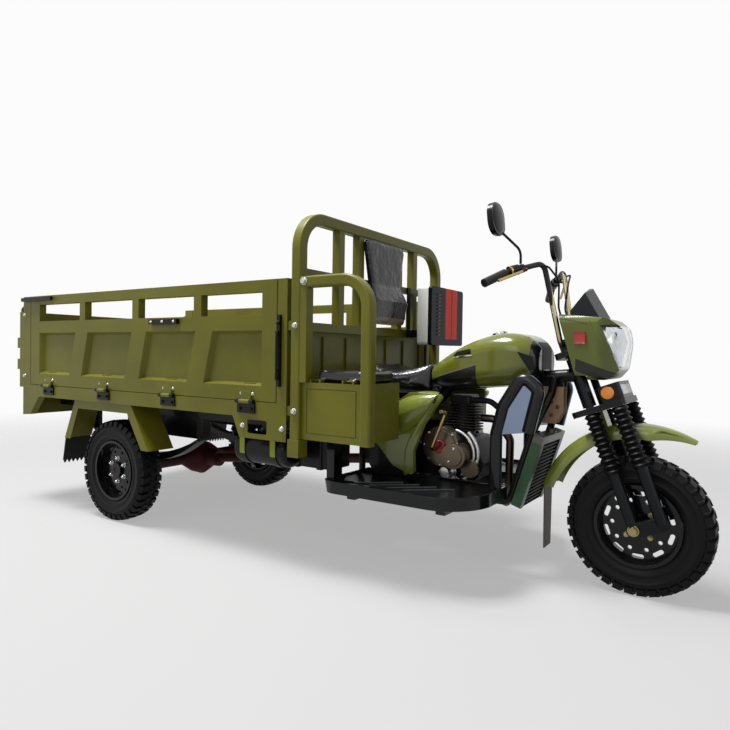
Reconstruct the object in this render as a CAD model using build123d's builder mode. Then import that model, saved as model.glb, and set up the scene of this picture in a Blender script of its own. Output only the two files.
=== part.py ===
"""Cargo motor tricycle: a drop-side load bed on two rear wheels behind a motorcycle front end."""
import os
from math import cos, radians, sin, tan

from build123d import *

os.makedirs("parts", exist_ok=True)

# Layout: +X forward, +Y left, +Z up, ground at Z = 0, millimetres
BED_LENGTH = 2128.0
BED_WIDTH = 1280.0
REAR_OVERHANG = 871.0
CAB_LENGTH = 1283.0
TRACK = 1102.0
FLOOR_Z = 708.0
SIDE_HEIGHT = 532.0

# Clearances
SEAT_GAP = 0.3
SWING_GAP = 5.0
PIN_GAP = 0.3

# Wheels
TYRE_OD = 545.0
TYRE_WIDTH = 130.0
RIM_SEAT_D = 305.0
RIM_FLANGE_D = 332.0
RIM_WALL = 5.0
HUB_R = 44.0
HUB_OUT = 40.0
DRUM_R = 78.0
DRUM_IN = 48.0
AXLE_R = 15.0
VENT_COUNT = 10
VENT_R = 8.0
VENT_PCD = 196.0
SLOT_PCD = 246.0
SLOT_LENGTH = 44.0
SLOT_WIDTH = 17.0
LUG_COUNT = 36
LUG_GROOVE = 13.0
LUG_DEPTH = 27.0
LUG_HEIGHT = 26.0

# Bed structure
PANEL_T = 40.0
POST_REAR_W = 82.0
POST_FRONT_W = 54.0
RAIL_H = 69.0
RAIL_W = 46.0
SHEET = 4.0
BEARER_H = 50.0
BEARER_W = 40.0
BEARER_COUNT = 7
GATE_T = 45.0
GATE_HEIGHT = 460.0
GATE_DROP = 18.0
BUFFER_H = 28.0

# Hinges of the bed and the lids
BARREL_R = 10.0
PIN_R = 4.0
AXIS_OUT = 14.0
LEAF_T = 8.0

# Ladder frame and axle
LADDER_Y = 400.0
LADDER_W = 50.0
LADDER_H = 80.0
AXLE_TUBE_R = 34.0
SPRING_HALF = 480.0
SPRING_W = 60.0

# Steering geometry
RAKE = 20.7
TRAIL = 74.0
LEG_Y = 110.0
LEG_PITCH = 104.0
TUBE_R = 16.0
SLIDER_R = 22.0
GAITER_R = 34.0
STEM_R = 15.0
HEAD_R = 27.0
LOWER_YOKE_S = 742.0
UPPER_YOKE_S = 985.0
YOKE_T = 24.0
NACELLE_HALF = 135.0
NACELLE_WALL = 6.0

# Places worked out from the layout
AXLE_Z = TYRE_OD / 2
BED_HALF = BED_WIDTH / 2
REAR_REACH = REAR_OVERHANG + SEAT_GAP + GATE_T + BUFFER_H
FRONT_REACH = BED_LENGTH - REAR_OVERHANG + CAB_LENGTH + TYRE_OD / 2
REAR_AXLE_X = (REAR_REACH - FRONT_REACH) / 2
BED_REAR_X = REAR_AXLE_X - REAR_OVERHANG
BED_FRONT_X = BED_REAR_X + BED_LENGTH
FRONT_AXLE_X = BED_FRONT_X + CAB_LENGTH
WHEEL_Y = TRACK / 2
BED_TOP_Z = FLOOR_Z + SIDE_HEIGHT
RAIL_LOW_Z = FLOOR_Z - RAIL_H
LADDER_TOP_Z = FLOOR_Z - SHEET - BEARER_H
LADDER_LOW_Z = LADDER_TOP_Z - LADDER_H
PANEL_REAR_X = BED_REAR_X + POST_REAR_W + SWING_GAP
PANEL_FRONT_X = BED_FRONT_X - POST_FRONT_W - SWING_GAP
PANEL_LOW_Z = FLOOR_Z + 3.0
GATE_OUT_X = BED_REAR_X - SEAT_GAP - GATE_T
GATE_LOW_Z = FLOOR_Z - GATE_DROP
GATE_AXIS_X = GATE_OUT_X - AXIS_OUT
SIDE_AXIS_Y = BED_HALF + AXIS_OUT

# Frame of the steering axis: local Z up the stem, local X forward, from where the axis meets the ground
COS_RAKE = cos(radians(RAKE))
SIN_RAKE = sin(radians(RAKE))
STEM_FOOT_X = FRONT_AXLE_X + TRAIL
STEM = Plane(
    origin=(STEM_FOOT_X, 0, 0), x_dir=(COS_RAKE, 0, SIN_RAKE), z_dir=(-SIN_RAKE, 0, COS_RAKE)
)
AXLE_S = TRAIL * SIN_RAKE + AXLE_Z * COS_RAKE
REAR_LEG_D = AXLE_Z * SIN_RAKE - TRAIL * COS_RAKE
FRONT_LEG_D = REAR_LEG_D + LEG_PITCH


def on_stem(forward, side, along):
    """World point from distances forward of, beside and up the steering axis."""
    return tuple(STEM.from_local_coords(Vector(forward, side, along)))


def save(piece, label):
    """Label a finished piece and write its STEP file."""
    piece.part.label = label
    export_step(piece.part, f"parts/{label}.step")


def add_tube(points, bend, radius, bore=0.0):
    """Sweep a round tube along straight runs joined by arcs into the part being built."""
    with BuildLine() as run:
        if len(points) == 2:
            Line(*points)
        else:
            FilletPolyline(*points, radius=bend)
    with BuildSketch(Plane(origin=run.line @ 0, z_dir=run.line % 0)) as ring:
        Circle(radius)
        if bore:
            Circle(bore, mode=Mode.SUBTRACT)
    sweep(ring.sketch, path=run.line)


def add_block(low, high, mode=Mode.ADD):
    """Add a plain bar between two opposite corners to the part being built."""
    size = [top - bottom for bottom, top in zip(low, high)]
    middle = [(top + bottom) / 2 for bottom, top in zip(low, high)]
    with Locations(tuple(middle)):
        Box(*size, mode=mode)


def add_bar_x(x_from, x_to, y, z, radius, mode=Mode.ADD):
    """Add a round bar along X to the part being built."""
    with BuildSketch(Plane(origin=(x_from, y, z), z_dir=(1, 0, 0))) as disc:
        Circle(radius)
    extrude(disc.sketch, amount=x_to - x_from, mode=mode)


def add_bar_y(x, y_from, y_to, z, radius, mode=Mode.ADD):
    """Add a round bar along Y to the part being built."""
    with BuildSketch(Plane(origin=(x, y_from, z), z_dir=(0, 1, 0))) as disc:
        Circle(radius)
    extrude(disc.sketch, amount=y_to - y_from, mode=mode)


def side_plane(y):
    """Sketch plane at a given Y, with local X along +X and local Y along +Z; extrudes towards -Y."""
    return Plane(origin=(0, y, 0), x_dir=(1, 0, 0), z_dir=(0, -1, 0))


# Wheels: lugged tyre on a dished steel rim whose hub carries the brake drum
BEAD_HALF = TYRE_WIDTH / 2 - 14.0
SHOULDER_HALF = TYRE_WIDTH / 2 - 6.0
SHOULDER_DROP = 14.0
BULGE_R = 212.0
BEAD_LIP = 31.0
CROWN_HALF = 38.0
DISC_R = RIM_SEAT_D / 2 - RIM_WALL
DISC_OUT = 18.0
DISC_T = 6.0

WHEELS = (
    # name, hub x, hub y, outward side
    ("front", FRONT_AXLE_X, 0.0, -1),
    ("rear_right", REAR_AXLE_X, -WHEEL_Y, -1),
    ("rear_left", REAR_AXLE_X, WHEEL_Y, 1),
)

half_lug = radians(180 / LUG_COUNT)
seat_r = RIM_SEAT_D / 2 + SEAT_GAP
TYRE_SIDE = (
    # radius across the flats, half width
    (AXLE_Z, CROWN_HALF),
    (AXLE_Z - SHOULDER_DROP, SHOULDER_HALF),
    (BULGE_R, TYRE_WIDTH / 2),
    (seat_r + BEAD_LIP, TYRE_WIDTH / 2),
    (seat_r, BEAD_HALF),
)
with BuildPart() as tyre_sector:
    with BuildSketch(Plane.XZ):
        with BuildLine():
            Polyline(*TYRE_SIDE, *[(radius, -half) for radius, half in reversed(TYRE_SIDE)], close=True)
        make_face()
    extrude(amount=AXLE_Z * tan(half_lug), both=True)
    with Locations((AXLE_Z, 0, TYRE_WIDTH / 2), (AXLE_Z, 0, -TYRE_WIDTH / 2)):
        Box(2 * LUG_HEIGHT, LUG_GROOVE, 2 * LUG_DEPTH, mode=Mode.SUBTRACT)
    for turn, keep in ((1, Keep.BOTTOM), (-1, Keep.TOP)):
        edge_normal = (-turn * sin(half_lug), cos(half_lug), 0)
        split(bisect_by=Plane(origin=(0, 0, 0), z_dir=edge_normal), keep=keep)
with BuildPart() as tyre_ring:
    with PolarLocations(0, LUG_COUNT):
        add(tyre_sector.part)

for wheel, hub_x, hub_y, side in WHEELS:
    wheel_plane = Plane(origin=(hub_x, hub_y, AXLE_Z), x_dir=(0, side, 0), z_dir=(side, 0, 0))
    wheel_axis = Axis((hub_x, hub_y, AXLE_Z), (0, 1, 0))
    hub_plane = Plane(origin=(hub_x, hub_y, AXLE_Z), x_dir=(1, 0, 0), z_dir=(0, 1, 0))
    with BuildPart() as tyre:
        with Locations(hub_plane):
            add(tyre_ring.part)
    save(tyre, f"{wheel}_tyre")

    flange_r = RIM_FLANGE_D / 2
    rim_half = BEAD_HALF + SEAT_GAP
    with BuildPart() as rim:
        with BuildSketch(wheel_plane):
            with BuildLine():
                Polyline(
                    (-rim_half - 7.0, flange_r - RIM_WALL),
                    (-rim_half, RIM_SEAT_D / 2),
                    (rim_half, RIM_SEAT_D / 2),
                    (rim_half + 7.0, flange_r - RIM_WALL),
                    (rim_half + 7.0, DISC_R),
                    (DISC_OUT, DISC_R),
                    (DISC_OUT + 6.0, HUB_R + 12.0),
                    (DISC_OUT + 6.0, HUB_R),
                    (HUB_OUT, HUB_R - 4.0),
                    (HUB_OUT, AXLE_R + PIN_GAP),
                    (-DRUM_IN, AXLE_R + PIN_GAP),
                    (-DRUM_IN, DRUM_R),
                    (DISC_OUT - DISC_T - 6.0, DRUM_R),
                    (DISC_OUT - DISC_T, DISC_R),
                    (-rim_half - 7.0, DISC_R),
                    close=True,
                )
            make_face()
        revolve(axis=wheel_axis)
        with BuildSketch(hub_plane):
            with PolarLocations(VENT_PCD / 2, VENT_COUNT):
                Circle(VENT_R)
            with PolarLocations(SLOT_PCD / 2, VENT_COUNT, start_angle=180 / VENT_COUNT):
                SlotOverall(SLOT_LENGTH, SLOT_WIDTH, rotation=90)
        extrude(amount=HUB_OUT, both=True, mode=Mode.SUBTRACT)
    save(rim, f"{wheel}_rim")

# Rear axle: tube with differential, brake plates and stub shafts, and the drive shaft to the gearbox
DIFF_R = 105.0
DIFF_HALF = 62.0
PLATE_R = DRUM_R + 4.0
PLATE_T = 6.0
SHAFT_R = 25.0
GEARBOX_SETBACK = 945.5
SHAFT_FRONT = (FRONT_AXLE_X - GEARBOX_SETBACK, 0, 430.0)
plate_y = WHEEL_Y - DRUM_IN - SWING_GAP
with BuildPart() as rear_axle:
    with BuildSketch(Plane(origin=(REAR_AXLE_X, 0, AXLE_Z), x_dir=(0, 1, 0), z_dir=(1, 0, 0))):
        with BuildLine():
            Polyline(
                (0, 0),
                (0, DIFF_R),
                (DIFF_HALF, DIFF_R - 22.0),
                (DIFF_HALF + 80.0, AXLE_TUBE_R),
                (plate_y - PLATE_T, AXLE_TUBE_R),
                (plate_y - PLATE_T, PLATE_R),
                (plate_y, PLATE_R),
                (plate_y, AXLE_R),
                (WHEEL_Y + HUB_OUT - 2.0, AXLE_R),
                (WHEEL_Y + HUB_OUT - 2.0, 0),
                close=True,
            )
        make_face()
        mirror(about=Plane.YZ)
    revolve(axis=Axis((REAR_AXLE_X, 0, AXLE_Z), (0, 1, 0)))
    nose = (REAR_AXLE_X + DIFF_R + 70.0, 0, AXLE_Z + 8.0)
    add_tube(((REAR_AXLE_X, 0, AXLE_Z), nose), 0, 50.0)
    add_tube((nose, SHAFT_FRONT), 0, SHAFT_R)
save(rear_axle, "rear_axle")

# Leaf springs: tapered stacks over the axle, hung from the ladder frame by their eyes
SPRING_EYE_Z = 470.0
SPRING_STACK = 46.0
SPRING_LEAF = 9.0
EYE_R = 17.0
HANGER_W = 50.0
spring_low = AXLE_Z + AXLE_TUBE_R + SEAT_GAP
with BuildPart() as leaf_springs:
    for side in (-1, 1):
        with BuildSketch(side_plane(side * LADDER_Y + SPRING_W / 2)):
            with BuildLine():
                rear_eye = (REAR_AXLE_X - SPRING_HALF, SPRING_EYE_Z)
                front_eye = (REAR_AXLE_X + SPRING_HALF, SPRING_EYE_Z)
                ThreePointArc(rear_eye, (REAR_AXLE_X, spring_low + SPRING_STACK), front_eye)
                Line(front_eye, (front_eye[0], SPRING_EYE_Z - SPRING_LEAF))
                ThreePointArc(
                    (front_eye[0], SPRING_EYE_Z - SPRING_LEAF),
                    (REAR_AXLE_X, spring_low),
                    (rear_eye[0], SPRING_EYE_Z - SPRING_LEAF),
                )
                Line((rear_eye[0], SPRING_EYE_Z - SPRING_LEAF), rear_eye)
            make_face()
            with Locations(rear_eye, front_eye):
                Circle(EYE_R)
        extrude(amount=SPRING_W)
        for eye_x in (rear_eye[0], front_eye[0]):
            low = (eye_x - HANGER_W / 2, side * LADDER_Y - LADDER_W / 2, SPRING_EYE_Z)
            add_block(low, (eye_x + HANGER_W / 2, side * LADDER_Y + LADDER_W / 2, LADDER_LOW_Z))
save(leaf_springs, "leaf_springs")

# Ladder frame: two box rails under the bed, on to the cross tube ahead of it
HEAD_TUBE = 50.0
HEAD_GAP_X = 18.0
REAR_PANEL_T = 40.0
ladder_front_x = BED_FRONT_X + HEAD_GAP_X + HEAD_TUBE
with BuildPart() as chassis_rails:
    for side in (-1, 1):
        low = (BED_REAR_X + REAR_PANEL_T, side * LADDER_Y - LADDER_W / 2, LADDER_LOW_Z)
        add_block(low, (ladder_front_x, side * LADDER_Y + LADDER_W / 2, LADDER_TOP_Z))
save(chassis_rails, "chassis_rails")

# Frame spine: head tube with perforated gussets, backbone and the cross tube that joins the ladder frame
GUSSET_Y = 24.0
GUSSET_HOLE_R = 9.0
GUSSET_OUTLINE = (
    # behind the front axle, height
    (300.0, 848.0),
    (300.0, 700.0),
    (330.0, 645.0),
    (405.0, 645.0),
    (405.0, 770.0),
    (380.0, 838.0),
)
GUSSET_HOLES = ((325.0, 715.0), (352.0, 680.0), (385.0, 672.0), (352.0, 735.0), (385.0, 715.0))
SPINE_R = 28.0
CROSS_W = 50.0
SADDLE_LOW = 746.0
SPINE_BEND_SETBACK = 820.0
SPINE_BEND_Z = 790.0
SPINE_SEAT_SETBACK = 885.0
HEAD_GAP = 5.0
cross_x = ladder_front_x - CROSS_W / 2
cross_z = (LADDER_TOP_Z + LADDER_LOW_Z) / 2
spine_seat_z = SADDLE_LOW - SEAT_GAP - SPINE_R
head_low_s = LOWER_YOKE_S + YOKE_T + HEAD_GAP
head_high_s = UPPER_YOKE_S - HEAD_GAP
spine_start = on_stem(0, 0, head_high_s - 70.0)
with BuildPart() as frame_spine:
    add_tube((on_stem(0, 0, head_low_s), on_stem(0, 0, head_high_s)), 0, HEAD_R)
    spine_route = (
        spine_start,
        (FRONT_AXLE_X - SPINE_BEND_SETBACK, 0, SPINE_BEND_Z),
        (FRONT_AXLE_X - SPINE_SEAT_SETBACK, 0, spine_seat_z),
        (cross_x + 40.0, 0, spine_seat_z),
        (cross_x, 0, cross_z),
    )
    add_tube(spine_route, 30.0, SPINE_R)
    for side in (-1, 1):
        with BuildSketch(side_plane(side * GUSSET_Y)):
            with BuildLine():
                Polyline(*[(FRONT_AXLE_X - setback, z) for setback, z in GUSSET_OUTLINE], close=True)
            make_face()
            with Locations(*[(FRONT_AXLE_X - setback, z) for setback, z in GUSSET_HOLES]):
                Circle(GUSSET_HOLE_R, mode=Mode.SUBTRACT)
        extrude(amount=side * SHEET)
    cross_half = LADDER_Y - LADDER_W / 2
    low = (cross_x - CROSS_W / 2, -cross_half, cross_z - CROSS_W / 2)
    add_block(low, (cross_x + CROSS_W / 2, cross_half, cross_z + CROSS_W / 2))
    bore = (on_stem(0, 0, head_low_s - 1.0), on_stem(0, 0, head_high_s + 1.0))
    with BuildSketch(Plane(origin=bore[0], z_dir=STEM.z_dir)):
        Circle(STEM_R + PIN_GAP)
    extrude(amount=head_high_s - head_low_s + 2.0, mode=Mode.SUBTRACT)
save(frame_spine, "frame_spine")

# Engine cradle: a pair of tubes from the backbone down behind the radiator and back under the engine
CRADLE_R = 16.0
CRADLE_Y = 120.0
CRADLE_Z = 310.0
CRADLE_BEND = 45.0
CRADLE_TOP = (
    # behind the front axle, height
    (330.0, 842.5),
    (345.0, 770.0),
)
RADIATOR_X = FRONT_AXLE_X - 411.0
RADIATOR_Z = 436.0
RADIATOR_T = 34.0
RADIATOR_LEAN = 17.3
RAD_TANK_PROUD = 4.0
lean = radians(RADIATOR_LEAN)
radiator_back = (RADIATOR_T / 2 + RAD_TANK_PROUD + CRADLE_R + SEAT_GAP) / cos(lean)
with BuildPart() as frame_cradle:
    for side in (-1, 1):
        route = []
        for setback, z in CRADLE_TOP:
            route.append((FRONT_AXLE_X - setback, side * (SPINE_R + CRADLE_R + SEAT_GAP), z))
        for z in (620.0, CRADLE_Z):
            down_x = RADIATOR_X + (z - RADIATOR_Z) * tan(lean) - radiator_back
            route.append((down_x, side * CRADLE_Y, z))
        route.append((cross_x, side * CRADLE_Y, CRADLE_Z))
        route.append((cross_x, side * CRADLE_Y, cross_z - CROSS_W / 2 - SEAT_GAP))
        add_tube(route, CRADLE_BEND, CRADLE_R)
save(frame_cradle, "frame_cradle")

# Engine: crankcase with stepped round covers, feet on the cradle and a kick lever on the right
ENGINE_SETBACK = 790.0
ENGINE_X = FRONT_AXLE_X - ENGINE_SETBACK
ENGINE_Z = 470.0
CASE_HALF = 100.0
CASE_TOP = 92.0
CASE_ROUND_R = 26.0
CASE_OUTLINE = (
    # forward, up
    (-150.0, -95.0),
    (140.0, -95.0),
    (175.0, -20.0),
    (120.0, CASE_TOP),
    (-60.0, CASE_TOP),
    (-160.0, 30.0),
)
COVERS = (
    # forward, up, radius, how far it stands out of the crankcase
    (-12.0, 48.0, 88.0, 50.0),
    (-12.0, 48.0, 74.0, 58.0),
    (-12.0, 48.0, 24.0, 66.0),
    (62.0, 14.0, 56.0, 78.0),
    (62.0, 14.0, 42.0, 84.0),
    (118.0, -40.0, 40.0, 30.0),
)
FOOT_PLACES = (-100.0, 90.0)
FOOT_HALF = 20.0
FOOT_OVERLAP = 5.0
KICK_R = 8.0
KICK_ROUTE = (
    # forward, distance to the right, up
    (-27.0, CASE_HALF + 56.0, 39.0),
    (-27.0, CASE_HALF + 106.0, 39.0),
    (42.0, CASE_HALF + 114.0, 210.0),
    (42.0, CASE_HALF + 162.0, 214.0),
)
with BuildPart() as engine:
    with BuildSketch(side_plane(CASE_HALF)):
        with BuildLine():
            Polyline(*[(ENGINE_X + forward, ENGINE_Z + up) for forward, up in CASE_OUTLINE], close=True)
        make_face()
        fillet(vertices(), radius=CASE_ROUND_R)
    extrude(amount=2 * CASE_HALF)
    for forward, up, radius, depth in COVERS:
        for side in (-1, 1):
            reach = CASE_HALF + depth
            add_bar_y(ENGINE_X + forward, side * (CASE_HALF - 2.0), side * reach, ENGINE_Z + up, radius)
    for place in FOOT_PLACES:
        low = (ENGINE_X + place - FOOT_HALF, -CRADLE_Y - CRADLE_R, CRADLE_Z + CRADLE_R + SEAT_GAP)
        high_z = ENGINE_Z + CASE_OUTLINE[0][1] + FOOT_OVERLAP
        add_block(low, (ENGINE_X + place + FOOT_HALF, CRADLE_Y + CRADLE_R, high_z))
    kick = [(ENGINE_X + forward, -right, ENGINE_Z + up) for forward, right, up in KICK_ROUTE]
    add_tube(kick, 2 * KICK_R, KICK_R)
save(engine, "engine")

# Cylinder: finned barrel standing on the crankcase, with a plain head on top
FIN_COUNT = 10
FIN_PITCH = 13.0
FIN_T = 5.0
FIN_W = 150.0
FIN_START = 22.0
BARREL_OUT_R = 52.0
BARREL_FORWARD = 32.0
HEAD_W = 104.0
HEAD_LOW = 146.0
CYLINDER_H = 182.0
cylinder_x = ENGINE_X + BARREL_FORWARD
cylinder_base = Plane(origin=(cylinder_x, 0, ENGINE_Z + CASE_TOP + SEAT_GAP))
with BuildPart() as cylinder:
    with BuildSketch(cylinder_base):
        Circle(BARREL_OUT_R)
    extrude(amount=HEAD_LOW)
    for row in range(FIN_COUNT):
        with BuildSketch(cylinder_base.offset(FIN_START + row * FIN_PITCH)):
            RectangleRounded(FIN_W, FIN_W - 24.0, 18.0)
        extrude(amount=FIN_T)
    with BuildSketch(cylinder_base.offset(HEAD_LOW)):
        RectangleRounded(HEAD_W, HEAD_W, 16.0)
    extrude(amount=CYLINDER_H - HEAD_LOW)
save(cylinder, "cylinder")

# Exhaust: header pipe down past the crankcase and a silencer under the left footboard
SILENCER_R = 46.0
SILENCER_L = 380.0
EXHAUST_R = 18.0
EXHAUST_Y = 190.0
OUTRIGGER_LOW_Z = CRADLE_Z - 8.0
exhaust_z = OUTRIGGER_LOW_Z - SILENCER_R - SEAT_GAP
port_x = cylinder_x + FIN_W / 2 + SEAT_GAP
port_z = ENGINE_Z + 170.0
SILENCER_FRONT = -40.0
HEADER_ROUTE = (
    # ahead of the engine's middle, distance to the left, height
    (port_x - ENGINE_X, 30.0, port_z),
    (port_x - ENGINE_X + 62.0, 30.0, port_z),
    (232.0, 60.0, ENGINE_Z + 80.0),
    (228.0, 62.0, exhaust_z),
    (120.0, EXHAUST_Y, exhaust_z - 2.0),
    (SILENCER_FRONT, EXHAUST_Y, exhaust_z),
)
with BuildPart() as exhaust:
    header = [(ENGINE_X + forward, left, z) for forward, left, z in HEADER_ROUTE]
    add_tube(header, 40.0, EXHAUST_R)
    silencer_end = (ENGINE_X + SILENCER_FRONT - SILENCER_L, EXHAUST_Y, exhaust_z)
    add_tube((header[-1], silencer_end), 0, SILENCER_R)
save(exhaust, "exhaust")

# Radiator: finned core between two side tanks, leaning forward ahead of the engine
RADIATOR_H = 285.0
RADIATOR_W = 300.0
RAD_TANK_W = 38.0
radiator_plane = Plane(
    origin=(RADIATOR_X, 0, RADIATOR_Z), x_dir=(0, 1, 0), z_dir=(cos(lean), 0, -sin(lean))
)
RAD_TUBE_COUNT = 16
RAD_TUBE_H = 5.0
RAD_SLOT_DEPTH = 9.0
HEADER_H = 34.0
FILLER_R = 21.0
FILLER_H = 16.0
core_width = RADIATOR_W - 2 * RAD_TANK_W
tube_pitch = RADIATOR_H / RAD_TUBE_COUNT
with BuildPart() as radiator_core:
    with BuildSketch(radiator_plane):
        Rectangle(core_width, RADIATOR_H)
    extrude(amount=RADIATOR_T / 2, both=True)
    for face in (-1, 1):
        with BuildSketch(radiator_plane.offset(face * RADIATOR_T / 2)):
            with GridLocations(0, tube_pitch, 1, RAD_TUBE_COUNT):
                Rectangle(core_width - 2 * RAD_TUBE_H, tube_pitch - RAD_TUBE_H)
        extrude(amount=-face * RAD_SLOT_DEPTH, mode=Mode.SUBTRACT)
save(radiator_core, "radiator_core")
with BuildPart() as radiator_tanks:
    with BuildSketch(radiator_plane):
        for side in (-1, 1):
            with Locations((side * (RADIATOR_W / 2 - RAD_TANK_W / 2), HEADER_H / 2)):
                RectangleRounded(RAD_TANK_W, RADIATOR_H + HEADER_H, 8.0)
        with Locations((0, (RADIATOR_H + HEADER_H) / 2)):
            Rectangle(core_width + RAD_TANK_W, HEADER_H)
    extrude(amount=RADIATOR_T / 2 + RAD_TANK_PROUD, both=True)
    header_top = radiator_plane.from_local_coords(Vector(0, RADIATOR_H / 2 + HEADER_H, 0))
    with BuildSketch(Plane(origin=header_top, x_dir=(0, 1, 0), z_dir=radiator_plane.y_dir)):
        Circle(FILLER_R)
    extrude(amount=FILLER_H)
save(radiator_tanks, "radiator_tanks")

# Coolant hose: from the back of the radiator's header to the front of the cylinder head
HOSE_R = 13.0
HOSE_Y = -40.0
HOSE_BEND = 60.0
header_back = radiator_plane.from_local_coords(
    Vector(HOSE_Y, (RADIATOR_H + HEADER_H) / 2, -RADIATOR_T / 2 - RAD_TANK_PROUD - SEAT_GAP)
)
head_port = (cylinder_x + HEAD_W / 2 + SEAT_GAP, HOSE_Y, ENGINE_Z + CASE_TOP + HEAD_LOW + HOSE_R + 4.0)
with BuildPart() as coolant_hose:
    back_dir = -radiator_plane.z_dir
    hose_route = (
        tuple(header_back),
        tuple(header_back + back_dir * 90.0),
        (head_port[0] + 90.0, HOSE_Y, head_port[2]),
        head_port,
    )
    add_tube(hose_route, HOSE_BEND, HOSE_R)
save(coolant_hose, "coolant_hose")

# Fuel tank: rounded shell over the backbone
TANK_SECTIONS = (
    # behind the front axle, low edge, high edge, half width, corner radius
    (893.0, 792.0, 872.0, 70.0, 35.0),
    (770.0, 778.0, 945.0, 128.0, 60.0),
    (570.0, 792.0, 1018.0, 158.0, 75.0),
    (430.0, 815.0, 1006.0, 150.0, 75.0),
    (380.0, 846.0, 960.0, 105.0, 50.0),
)
TUNNEL_HALF = SPINE_R + 8.0
with BuildPart() as fuel_tank:
    for setback, low_z, high_z, half_width, corner in TANK_SECTIONS:
        section = Plane(
            origin=(FRONT_AXLE_X - setback, 0, (low_z + high_z) / 2), x_dir=(0, 1, 0), z_dir=(1, 0, 0)
        )
        with BuildSketch(section):
            RectangleRounded(2 * half_width, high_z - low_z, corner)
    loft()
    tunnel_rise = SPINE_R + 2 * SEAT_GAP
    with BuildSketch(side_plane(TUNNEL_HALF)):
        with BuildLine():
            Polyline(
                (FRONT_AXLE_X - SPINE_BEND_SETBACK - 100.0, SPINE_BEND_Z + tunnel_rise),
                (FRONT_AXLE_X - SPINE_BEND_SETBACK, SPINE_BEND_Z + tunnel_rise),
                (spine_start[0], spine_start[2] + tunnel_rise),
                (spine_start[0], spine_start[2] - 200.0),
                (FRONT_AXLE_X - SPINE_BEND_SETBACK - 100.0, SPINE_BEND_Z - 200.0),
                close=True,
            )
        make_face()
    extrude(amount=2 * TUNNEL_HALF, mode=Mode.SUBTRACT)
save(fuel_tank, "fuel_tank")

# Saddle: padded seat from the headboard to the tank
SADDLE_REAR = 89.0
SADDLE_GAP = 8.0
saddle_rear_x = BED_FRONT_X + SADDLE_REAR
saddle_front_x = FRONT_AXLE_X - TANK_SECTIONS[0][0] - SADDLE_GAP
saddle_length = saddle_front_x - saddle_rear_x
SADDLE_SECTIONS = (
    # share of the length, high edge, half width, corner radius
    (0.0, 885.0, 152.0, 45.0),
    (0.5, 848.0, 150.0, 38.0),
    (1.0, 890.0, 80.0, 36.0),
)
with BuildPart() as saddle:
    for share, high_z, half_width, corner in SADDLE_SECTIONS:
        section = Plane(
            origin=(saddle_rear_x + share * saddle_length, 0, (SADDLE_LOW + high_z) / 2),
            x_dir=(0, 1, 0),
            z_dir=(1, 0, 0),
        )
        with BuildSketch(section):
            RectangleRounded(2 * half_width, high_z - SADDLE_LOW, corner)
    loft()
save(saddle, "saddle")

# Side covers: painted panels beside the engine bay, over black lower covers
COVER_Y = 240.0
COVER_T = 24.0
COVER_FRONT_SETBACK = 735.0
COVER_REAR = 194.0
COVER_ROUND = 14.0
COVER_OUTLINE = (
    # share of the length from the rear, height
    (1.0, 756.0),
    (0.534, 760.0),
    (0.04, 640.0),
    (0.0, 546.0),
    (0.308, 430.0),
    (0.607, 394.0),
    (0.596, 500.0),
    (0.732, 620.0),
)
cover_rear_x = BED_FRONT_X + COVER_REAR
cover_length = FRONT_AXLE_X - COVER_FRONT_SETBACK - cover_rear_x
with BuildPart() as side_covers:
    for side in (-1, 1):
        with BuildSketch(side_plane(side * COVER_Y)):
            with BuildLine():
                outline = [(cover_rear_x + share * cover_length, z) for share, z in COVER_OUTLINE]
                Polyline(*outline, close=True)
            make_face()
            fillet(vertices(), radius=COVER_ROUND)
        extrude(amount=-side * COVER_T)
save(side_covers, "side_covers")
FOOT_TOP_Z = 376.0
LOWER_COVER_Z = FOOT_TOP_Z + SEAT_GAP
LOWER_COVER_REAR = 120.0
LOWER_COVER_GAP = 8.0
LOWER_COVER_ROUND = 20.0
LOWER_COVER_OUTLINE = (
    # share of the length from the rear, height
    (0.0, 600.0),
    (0.79, 600.0),
    (1.0, 520.0),
    (0.943, LOWER_COVER_Z),
    (0.264, LOWER_COVER_Z),
    (0.0, 480.0),
)
lower_cover_x = BED_FRONT_X + LOWER_COVER_REAR
engine_cover_rear_x = ENGINE_X + COVERS[0][0] - COVERS[0][2]
lower_cover_length = engine_cover_rear_x - LOWER_COVER_GAP - lower_cover_x
with BuildPart() as lower_covers:
    for side in (-1, 1):
        with BuildSketch(side_plane(side * (COVER_Y - SEAT_GAP))):
            with BuildLine():
                spread = [(share * lower_cover_length, z) for share, z in LOWER_COVER_OUTLINE]
                Polyline(*[(lower_cover_x + forward, z) for forward, z in spread], close=True)
            make_face()
            fillet(vertices(), radius=min(LOWER_COVER_ROUND, lower_cover_length / 8))
        extrude(amount=side * (COVER_Y - SEAT_GAP - CRADLE_Y - CRADLE_R - SEAT_GAP))
save(lower_covers, "lower_covers")

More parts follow.
